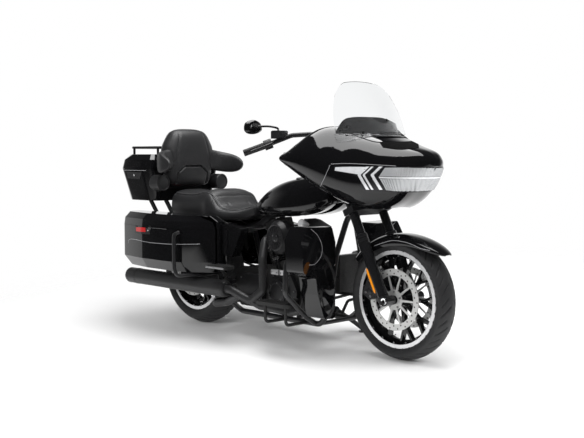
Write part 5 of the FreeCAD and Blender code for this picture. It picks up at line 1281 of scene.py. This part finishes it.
@dataclass(frozen=True)
class Engine:
    """Engine covers, tubes, bolts, the air cleaner's details and the exhaust."""

    crank: Point = (0.850, 0.0, 0.290)
    vee_degrees: float = 22.5
    rod_feet: tuple = ((1, 0.862, -0.018), (1, 0.884, 0.016), (-1, 0.812, -0.018), (-1, 0.834, 0.016))
    rod_radius: float = 0.0085
    collar_profile: Pairs = ((0.0088, -0.012), (0.0140, -0.009), (0.0140, 0.009), (0.0088, 0.012))
    rocker_step: float = 0.045
    rocker_half: float = 0.0692
    cam_ring: Point = (0.838, -0.1603, 0.288)
    cam_profile: Pairs = ((0.066, -0.001), (0.066, 0.003), (0.062, 0.005), (0.050, 0.005), (0.047, 0.002),
                          (0.012, 0.002))
    cam_bolts: Points = ((0.770, -0.1385, 0.225), (0.945, -0.1385, 0.225), (0.960, -0.1385, 0.300),
                         (0.915, -0.1385, 0.375), (0.795, -0.1385, 0.375), (0.755, -0.1385, 0.300))
    gearbox_bolts: Points = ((0.520, -0.1425, 0.225), (0.680, -0.1425, 0.225), (0.680, -0.1425, 0.345),
                             (0.520, -0.1425, 0.345))
    primary_front: Point = (0.850, 0.1965, 0.290)
    primary_rear: Point = (0.560, 0.1965, 0.286)
    primary_radius: float = 0.083
    cleaner: Point = (0.866, -0.1945, 0.602)
    cleaner_half: tuple[float, float] = (0.0672, 0.0758)
    cleaner_rings: Pairs = ((0.985, 0.0005), (0.985, -0.003), (0.93, -0.0045), (0.88, -0.003), (0.86, 0.0005))
    cleaner_cap: Pairs = ((0.026, -0.001), (0.026, 0.003), (0.022, 0.005), (0.006, 0.005))
    rib_start: float = 0.030
    rib_half: tuple[float, float] = (0.056, 0.063)
    plug_profile: Pairs = ((0.006, 0.0), (0.009, 0.002), (0.009, 0.016), (0.0075, 0.018), (0.0075, 0.030),
                           (0.005, 0.034))
    lifter_starts: tuple[float, float] = (0.788, 0.862)
    lifter_y: float = -0.138
    lifter_z: float = 0.398
    breather_rib_count: int = 5
    breather_pitch: float = 0.011
    clamp_starts: tuple = ((-0.300, 0.0502), (0.520, 0.0500))
    pipe_side: float = -0.290
    pipe_level: float = 0.290

    def at(self, side: int, along: float, over: float, y: float) -> Point:
        """Place on a cylinder's axes: along it from the crank, over it towards the front, and across the bike."""
        lean = math.radians(self.vee_degrees) * side
        x, _y, z = self.crank
        cosine, sine = math.cos(lean), math.sin(lean)
        return (x + along * sine + over * cosine, y, z + along * cosine - over * sine)

    def pushrods(self) -> tuple[Shell, Shell]:
        """Pushrod tubes with their bright collars."""
        rods, collars = [], []
        for side, x, over in self.rod_feet:
            foot, head = np.array([x, -0.112, 0.382]), np.array(self.at(side, 0.292, over, -0.096))
            way = unit(head - foot)
            rods.append(bar(foot, head, circle(self.rod_radius, 16), 6, LEFTWARD))
            collars += [turned(self.collar_profile, spot, way, 20)
                        for spot in (foot + way * 0.006, foot + (head - foot) * 0.5, head - way * 0.006)]
        return Shell.join(rods), Shell.join(collars)

    def rocker_bolts(self) -> Shell:
        """Bolt heads on the rocker covers and heads, right and left."""
        heads, step = [], self.rocker_step
        for side in (-1, 1):
            lean = math.radians(self.vee_degrees) * side
            for way in (-1, 1):
                spots = [self.at(side, 0.388, over, way * self.rocker_half) for over in (-step, 0.0, step)]
                heads.append(bolts(spots, (0, way, 0), 0.0055, 0.005))
            top = [self.at(side, 0.4195, over, y) for over in (-step, step) for y in (-step, step)]
            heads.append(bolts(top, (math.sin(lean), 0, math.cos(lean)), 0.0055, 0.005))
        return Shell.join(heads)

    def covers(self) -> None:
        """Ring and bolts on the cam, gearbox and primary covers."""
        make_piece("cam_cover_ring", turned(self.cam_profile, self.cam_ring, RIGHTWARD, 56), SATIN_BLACK)
        x, _y, z = self.cam_ring
        primary = (round_places(self.primary_front, self.primary_radius, 7, 0.2)
                   + round_places(self.primary_rear, self.primary_radius, 7, 0.5))
        heads = [bolts(round_places((x, -0.1655, z), 0.056, 6, 0.3), RIGHTWARD, 0.0042, 0.003),
                 bolts(self.cam_bolts, RIGHTWARD), bolts(self.gearbox_bolts, RIGHTWARD), bolts(primary, LEFTWARD)]
        make_piece("engine_cover_bolts", Shell.join(heads), SCREW_STEEL)

    def cleaner_details(self) -> None:
        """Raised rim, ribs and middle cap on the air cleaner's face."""
        centre, (wide, high) = np.array(self.cleaner), self.cleaner_half
        cosine, sine = circle(1.0, 72).T
        outline = np.stack([cosine * wide, np.zeros(72), sine * high], axis=-1)
        points = np.stack([centre + outline * share + np.array([0, depth, 0]) for share, depth in self.cleaner_rings])
        make_piece("cleaner_rim", grid(points, wrap_rows=True, wrap_columns=True), SATIN_BLACK)
        wide, high = self.rib_half
        ribs = [bar(centre + np.array([self.rib_start * c, -0.001, self.rib_start * s]),
                    centre + np.array([wide * c, -0.001, high * s]), soft_box(0.004, 0.004, 10), 6, LEFTWARD)
                for c, s in zip(cosine[::4], sine[::4])]
        cap = turned(self.cleaner_cap, centre, RIGHTWARD, 40)
        make_piece("cleaner_cap_and_ribs", Shell.join([cap] + ribs), SATIN_BLACK)
        spots = round_places(centre + np.array([0, -0.003, 0]), 0.0175, 3, 0.5)
        make_piece("cleaner_bolts", bolts(spots, RIGHTWARD, 0.0035), SCREW_STEEL)

    def plugs(self) -> Shell:
        """Spark plug caps on the right of the heads."""
        return Shell.join([turned(self.plug_profile, self.at(side, 0.325, side * 0.052, -0.079), (0, -1, 0.2), 18)
                           for side in (1, -1)])

    def lifters(self) -> None:
        """Bright lifter covers between the cam cover and the pushrod tubes, with their bolts."""
        y, z = self.lifter_y, self.lifter_z
        blocks = [bar((x - 0.004, y, z), (x + 0.052, y, z), soft_box(0.026, 0.030, 24, 5), 10)
                  for x in self.lifter_starts]
        heads = [(x + step, y - 0.0135, z) for x in self.lifter_starts for step in (0.004, 0.044)]
        make_piece("lifter_covers", Shell.join(blocks), LIP_BRIGHT)
        make_piece("lifter_bolts", bolts(heads, RIGHTWARD, 0.0042, 0.003), SCREW_STEEL)

    def breather(self) -> Shell:
        """Ribbed bright cap on the right of the front rocker box."""
        steps = [(0.014, 0.0), (0.014, 0.006)]
        for rib in range(self.breather_rib_count):
            low = 0.008 + rib * self.breather_pitch
            steps += [(0.020, low), (0.023, low + 0.002), (0.023, low + 0.006), (0.020, low + 0.008)]
        steps += [(0.018, 0.064), (0.006, 0.066)]
        return turned(steps, self.at(1, 0.400, -0.012, -0.069), (0.12, -0.88, 0.38), 32)

    def clamps(self) -> Shell:
        """Band clamps on both silencers."""
        return Shell.join([
            turned(((radius - 0.002, -0.011), (radius, -0.009), (radius, 0.009), (radius - 0.002, 0.011)),
                   (x, self.pipe_side, self.pipe_level), FORWARD, 48) for x, radius in self.clamp_starts]).both()

    def build(self) -> None:
        """Make every piece of the engine and its exhaust."""
        dress(ENGINE_BLACK, "crankcase", "cylinder_front", "cylinder_rear")
        dress(SATIN_BLACK, "primary_cover", "cam_cover", "air_cleaner")
        dress(PIPE_BLACK, "exhaust")
        rods, collars = self.pushrods()
        make_piece("pushrod_tubes", rods, SATIN_BLACK)
        make_piece("pushrod_collars", collars, MACHINED)
        make_piece("rocker_bolts", self.rocker_bolts(), SCREW_STEEL)
        self.covers()
        self.cleaner_details()
        make_piece("spark_plug_caps", self.plugs(), RUBBER_BLACK)
        make_piece("exhaust_clamps", self.clamps(), PIPE_BLACK)
        make_piece("breather_cap", self.breather(), LIP_BRIGHT)
        self.lifters()


# Luggage


@dataclass(frozen=True)
class Luggage:
    """Saddlebags, tour box and their trim. Lines of pixels lie on the side that the photograph shows."""

    bag_frame: Patch = Patch(((135.2, 225.6), (143, 225.8), (151, 226.4)), ((135.6, 233), (143, 234), (150, 234.4)),
                             0.003, 0.0, 6, 20)
    bag_reflector: Patch = Patch(((136.6, 227), (141, 227.2), (146, 227.6)),
                                 ((136.8, 231.2), (141, 231.7), (146, 232)),
                                 0.002, 0.003, 6, 14)
    bag_screw: Pairs = ((148.4, 230.4),)
    bag_stripe: Pairs = ((128.5, 243), (129, 240), (131, 239), (136, 239.6), (150, 242.5), (170, 244.1), (190, 244.2),
                         (200, 244))
    box_stripe: Points = ((-0.585, -0.6, 0.964), (-0.225, -0.6, 0.964))
    box_catch: Patch = Patch(((127, 171.5), (134, 171.8), (142, 172.4)), ((128, 178), (134, 178.6), (140, 179)),
                             0.003, 0.0, 6, 16)
    box_lock: Pairs = ((134.5, 175.0),)
    box_latch: Points = ((-0.9, -0.070, 0.905), (-0.9, 0.070, 0.905))
    box_latch_width: float = 0.045
    speaker: Point = (-0.1095, 0.238, 0.888)
    speaker_ring: Pairs = ((0.0500, -0.004), (0.0508, 0.002), (0.0470, 0.005), (0.0430, 0.003), (0.0420, 0.0))
    speaker_dome: Pairs = ((0.0425, 0.0), (0.036, 0.003), (0.024, 0.0052), (0.010, 0.006), (0.002, 0.0062))

    def bag_trim(self) -> None:
        """Red reflectors in their frames and pinstripes on both bags."""
        skin = Skin("saddlebag_right")
        make_piece("bag_reflector_frames", skin.plates(self.bag_frame), SATIN_BLACK)
        make_piece("bag_reflectors", skin.plates(self.bag_reflector), RED_LENS)
        make_piece("bag_reflector_screws", skin.screws(self.bag_screw, 0.0045, 0.003).both(), LIP_BRIGHT)
        line = Skin("saddlebag_right", "side_covers").stripe(self.bag_stripe, 0.0030, 120)
        make_piece("bag_pinstripes", line.both(), STRIPE_GREY)

    def box_trim(self) -> None:
        """Pinstripes, latches and locks of the tour box."""
        skin = Skin("tour_box")
        make_piece("tour_box_pinstripes", skin.strip(self.box_stripe, LEFTWARD, 0.0035).both(), STRIPE_GREY)
        make_piece("tour_box_side_latches", skin.plates(self.box_catch), SATIN_BLACK)
        make_piece("tour_box_locks", skin.screws(self.box_lock, 0.006, 0.003).both(), LIP_BRIGHT)
        latch = skin.strip(self.box_latch, FORWARD, self.box_latch_width, 40, 0.003)
        make_piece("tour_box_latch", latch, SATIN_BLACK)

    def speakers(self) -> None:
        """Domed grilles and trim rings on the speaker pods."""
        x, side, z = self.speaker
        for name, profile, sides, finish in (("speaker_rings", self.speaker_ring, 56, SATIN_BLACK),
                                             ("speaker_grilles", self.speaker_dome, 48, PLASTIC_BLACK)):
            make_piece(name, Shell.join([turned(profile, (x, y, z), FORWARD, sides) for y in (-side, side)]), finish)

    def build(self) -> None:
        """Make every piece of the luggage."""
        dress(GLOSS_BLACK, "saddlebag_right", "saddlebag_left", "bag_lid_right", "bag_lid_left", "tour_box",
              "tour_box_lid", sharp_degrees=24)
        dress(SATIN_BLACK, "luggage_rack", "tour_box_bracket", "bag_guards")
        dress(PLASTIC_BLACK, "speaker_pods")
        self.bag_trim()
        self.box_trim()
        self.speakers()


# Chassis


@dataclass(frozen=True)
class Chassis:
    """Frame, tank, fenders, boards, brake discs and the stand."""

    plate_top: float = 0.55
    cap_place: Point = (0.945, -0.060, 0.9275)
    cap_profile: Pairs = ((0.034, -0.004), (0.034, 0.004), (0.031, 0.008), (0.010, 0.009))
    rider_ribs: Point = (0.885, 1.095, 14)
    rider_rib_ends: tuple[float, float] = (-0.345, -0.262)
    rider_level: float = 0.263
    rear_ribs: Point = (-0.385, -0.307, 6)
    rear_rib_ends: tuple[float, float] = (0.503, 0.642)
    rear_level: float = 0.4330
    edge_ends: Points = ((0.495, -0.3935, 0.423), (0.651, -0.3935, 0.423))
    lever_path: Points = ((1.060, -0.262, 0.258), (1.085, -0.280, 0.272), (1.105, -0.296, 0.284))
    pad_ends: Points = ((1.104, -0.325, 0.288), (1.104, -0.268, 0.288))
    shock_low: Point = (-0.018, -0.157, 0.357)
    shock_high: Point = (0.050, -0.155, 0.622)
    coil_radius: float = 0.0245
    coil_count: int = 11
    wire_radius: float = 0.0034

    def boards(self) -> None:
        """Rubber ribs on the boards, their edges, and the brake and shift pedals."""
        rib, (right, left), (rear, front) = soft_box(0.006, 0.004, 10), self.rider_rib_ends, self.rear_rib_ends
        ribs = [bar((x, right, self.rider_level), (x, left, self.rider_level), rib, 5)
                for x in np.linspace(*self.rider_ribs)]
        ribs += [bar((rear, y, self.rear_level), (front, y, self.rear_level), rib, 5)
                 for y in np.linspace(*self.rear_ribs)]
        make_piece("board_ribs", Shell.join(ribs).both(), RUBBER_BLACK)
        make_piece("board_edges", bar(*self.edge_ends, soft_box(0.003, 0.010, 12), 6).both(), EDGE_GREY)
        lever = sweep(smooth_path(self.lever_path, 14), circle(0.0065, 12))
        pad = bar(*self.pad_ends, soft_box(0.042, 0.012, 20, 5), 6)
        make_piece("foot_pedals", Shell.join([lever, pad]).both(), RUBBER_BLACK)

    def springs(self) -> Shell:
        """Coils round the rear shocks: a helix about each shock's axis."""
        low, high = np.array(self.shock_low), np.array(self.shock_high)
        axis = unit(high - low)
        first = np.cross(LEFTWARD, axis)
        second = np.cross(axis, first)
        share = np.linspace(0.14, 0.86, 260)[:, None]
        angle = share * 2 * np.pi * self.coil_count
        path = low + (high - low) * share + self.coil_radius * (np.cos(angle) * first + np.sin(angle) * second)
        return sweep(path, circle(self.wire_radius, 8), axis).both()

    def build(self) -> None:
        """Make every piece of the chassis."""
        dress(SATIN_BLACK, "frame", "swingarm", "shocks", "engine_guard", "side_stand")
        dress(GLOSS_BLACK, "fuel_tank", sharp_degrees=60)
        dress(GLOSS_BLACK, "side_covers")
        dress(GLOSS_BLACK, "rear_fender", sharp_degrees=50)
        dress(RUBBER_BLACK, "drive_belt", "footboards")
        dress(DISC_FRONT, "front_discs")
        dress(DISC_REAR, "rear_disc")
        dress(SATIN_BLACK, "rear_pulley")
        finish_below(dress(RED_LENS, "tail_lamp"), self.plate_top, PLATE_BLANK)
        make_piece("filler_cap", turned(self.cap_profile, self.cap_place, (0.02, -0.12, 1), 48), SATIN_BLACK)
        self.boards()
        make_piece("shock_springs", self.springs(), SATIN_BLACK)


# Studio


@dataclass(frozen=True)
class Lamp:
    """Soft rectangular lamp that faces a target, shown in gloss only if mirrored is true."""

    name: str
    place: Point
    target: Point
    size: tuple[float, float]
    power: float
    mirrored: bool = False

    def build(self) -> None:
        """Hang the lamp."""
        data = bpy.data.lights.new(self.name, "AREA")
        data.shape, data.energy = "RECTANGLE", self.power
        data.size, data.size_y = self.size
        lamp = bpy.data.objects.new(self.name, data)
        bpy.context.scene.collection.objects.link(lamp)
        lamp.location = self.place
        lamp.rotation_mode = "QUATERNION"
        lamp.rotation_quaternion = (Vector(self.place) - Vector(self.target)).to_track_quat("Z", "Y")
        lamp.visible_glossy = self.mirrored


@dataclass(frozen=True)
class Studio:
    """Floor, world and lamps."""

    floor_radius: float = 3.4
    fade_start: float = 1.5
    floor_colour: Point = (0.86, 0.86, 0.86)
    behind: Point = (-0.72, 0.69, 0.0)
    fill: float = 0.62
    gloss_span: float = 0.92
    gloss_floor: float = 0.03
    lamps: tuple[Lamp, ...] = (
        Lamp("overhead_softbox", (0.2, 0.3, 3.6), (0.0, 0.0, 0.5), (3.6, 2.2), 150.0, True),
        Lamp("front_softbox", (3.8, 1.2, 2.2), (0.4, 0.0, 0.6), (1.2, 2.0), 60.0),
        Lamp("side_strip", (-0.6, -4.2, 2.6), (0.0, 0.0, 0.6), (3.0, 0.8), 70.0))

    def floor(self) -> None:
        """Round pale floor that fades out towards its rim."""
        ring = np.column_stack([circle(self.floor_radius, 96), np.zeros(96)])
        shell = grid(np.stack([ring * share for share in (0.001, 0.5, 1.0)]), wrap_columns=True)
        mesh = bpy.data.meshes.new("floor")
        mesh.from_pydata(shell.points.tolist(), [], shell.quads.tolist())
        floor = bpy.data.objects.new("floor", mesh)
        bpy.context.scene.collection.objects.link(floor)
        material = bpy.data.materials.new("studio_floor")
        material.use_nodes = True
        tree = material.node_tree
        shader = tree.nodes["Principled BSDF"]
        for socket, value in (("Base Color", (*self.floor_colour, 1)), ("Roughness", 0.7),
                              ("Specular IOR Level", 0.1)):
            shader.inputs[socket].default_value = value
        place = add_node(tree, "TexCoord", {}).outputs["Object"]
        far = add_node(tree, "VectorMath", {0: place}, operation="LENGTH").outputs["Value"]
        span = {"Value": far, "From Min": self.fade_start, "From Max": self.floor_radius * 0.97}
        fade = add_node(tree, "MapRange", span, interpolation_type="SMOOTHSTEP").outputs["Result"]
        clear = add_node(tree, "BsdfTransparent", {}).outputs[0]
        mixed = add_node(tree, "MixShader", {0: fade, 1: shader.outputs[0], 2: clear})
        tree.links.new(mixed.outputs[0], tree.nodes["Material Output"].inputs["Surface"])
        mesh.materials.append(material)

    def world(self) -> None:
        """White to the camera and through glass; in gloss, white behind the bike and dark before and above it."""
        world = bpy.data.worlds.new("studio")
        bpy.context.scene.world = world
        world.use_nodes = True
        tree = world.node_tree
        place = add_node(tree, "TexCoord", {}).outputs["Generated"]
        behind = add_node(tree, "VectorMath", {0: place, 1: self.behind}, operation="DOT_PRODUCT").outputs["Value"]
        wide = add_node(tree, "MapRange", {"Value": behind, "From Min": 0.15, "From Max": 0.65},
                        interpolation_type="SMOOTHSTEP").outputs["Result"]
        height = add_node(tree, "SeparateXYZ", {"Vector": place}).outputs["Z"]
        low = add_node(tree, "MapRange", {"Value": height, "From Min": 0.55, "From Max": 0.12},
                       interpolation_type="SMOOTHSTEP").outputs["Result"]
        seen = add_node(tree, "Math", {0: wide, 1: low}, operation="MULTIPLY").outputs[0]
        span = {0: seen, 1: self.gloss_span, 2: self.gloss_floor}
        gloss = add_node(tree, "Math", span, operation="MULTIPLY_ADD").outputs[0]
        path = add_node(tree, "LightPath", {}).outputs
        rays = {0: path["Is Camera Ray"], 1: path["Is Transmission Ray"]}
        plain = add_node(tree, "Math", rays, operation="MAXIMUM")
        fill = add_node(tree, "Mix", {0: path["Is Glossy Ray"], 2: self.fill, 3: gloss}, data_type="FLOAT")
        strength = add_node(tree, "Mix", {0: plain.outputs[0], 2: fill.outputs[0], 3: 1.0}, data_type="FLOAT")
        background = tree.nodes["Background"]
        background.inputs["Color"].default_value = (1, 1, 1, 1)
        tree.links.new(strength.outputs[0], background.inputs["Strength"])

    def build(self) -> None:
        """Set up the whole studio."""
        SIGHT.camera()
        self.floor()
        self.world()
        for lamp in self.lamps:
            lamp.build()
        bpy.context.scene.view_settings.view_transform = "Standard"


def main() -> None:
    """Build every assembly in order."""
    logging.basicConfig(level=logging.INFO, format="%(message)s")
    for assembly in (FRONT_WHEEL, REAR_WHEEL, Chassis(), Steering(), Engine(), Fairing(), Seats(),
                     Luggage(), Studio()):
        assembly.build()


if __name__ == "__main__":
    main()
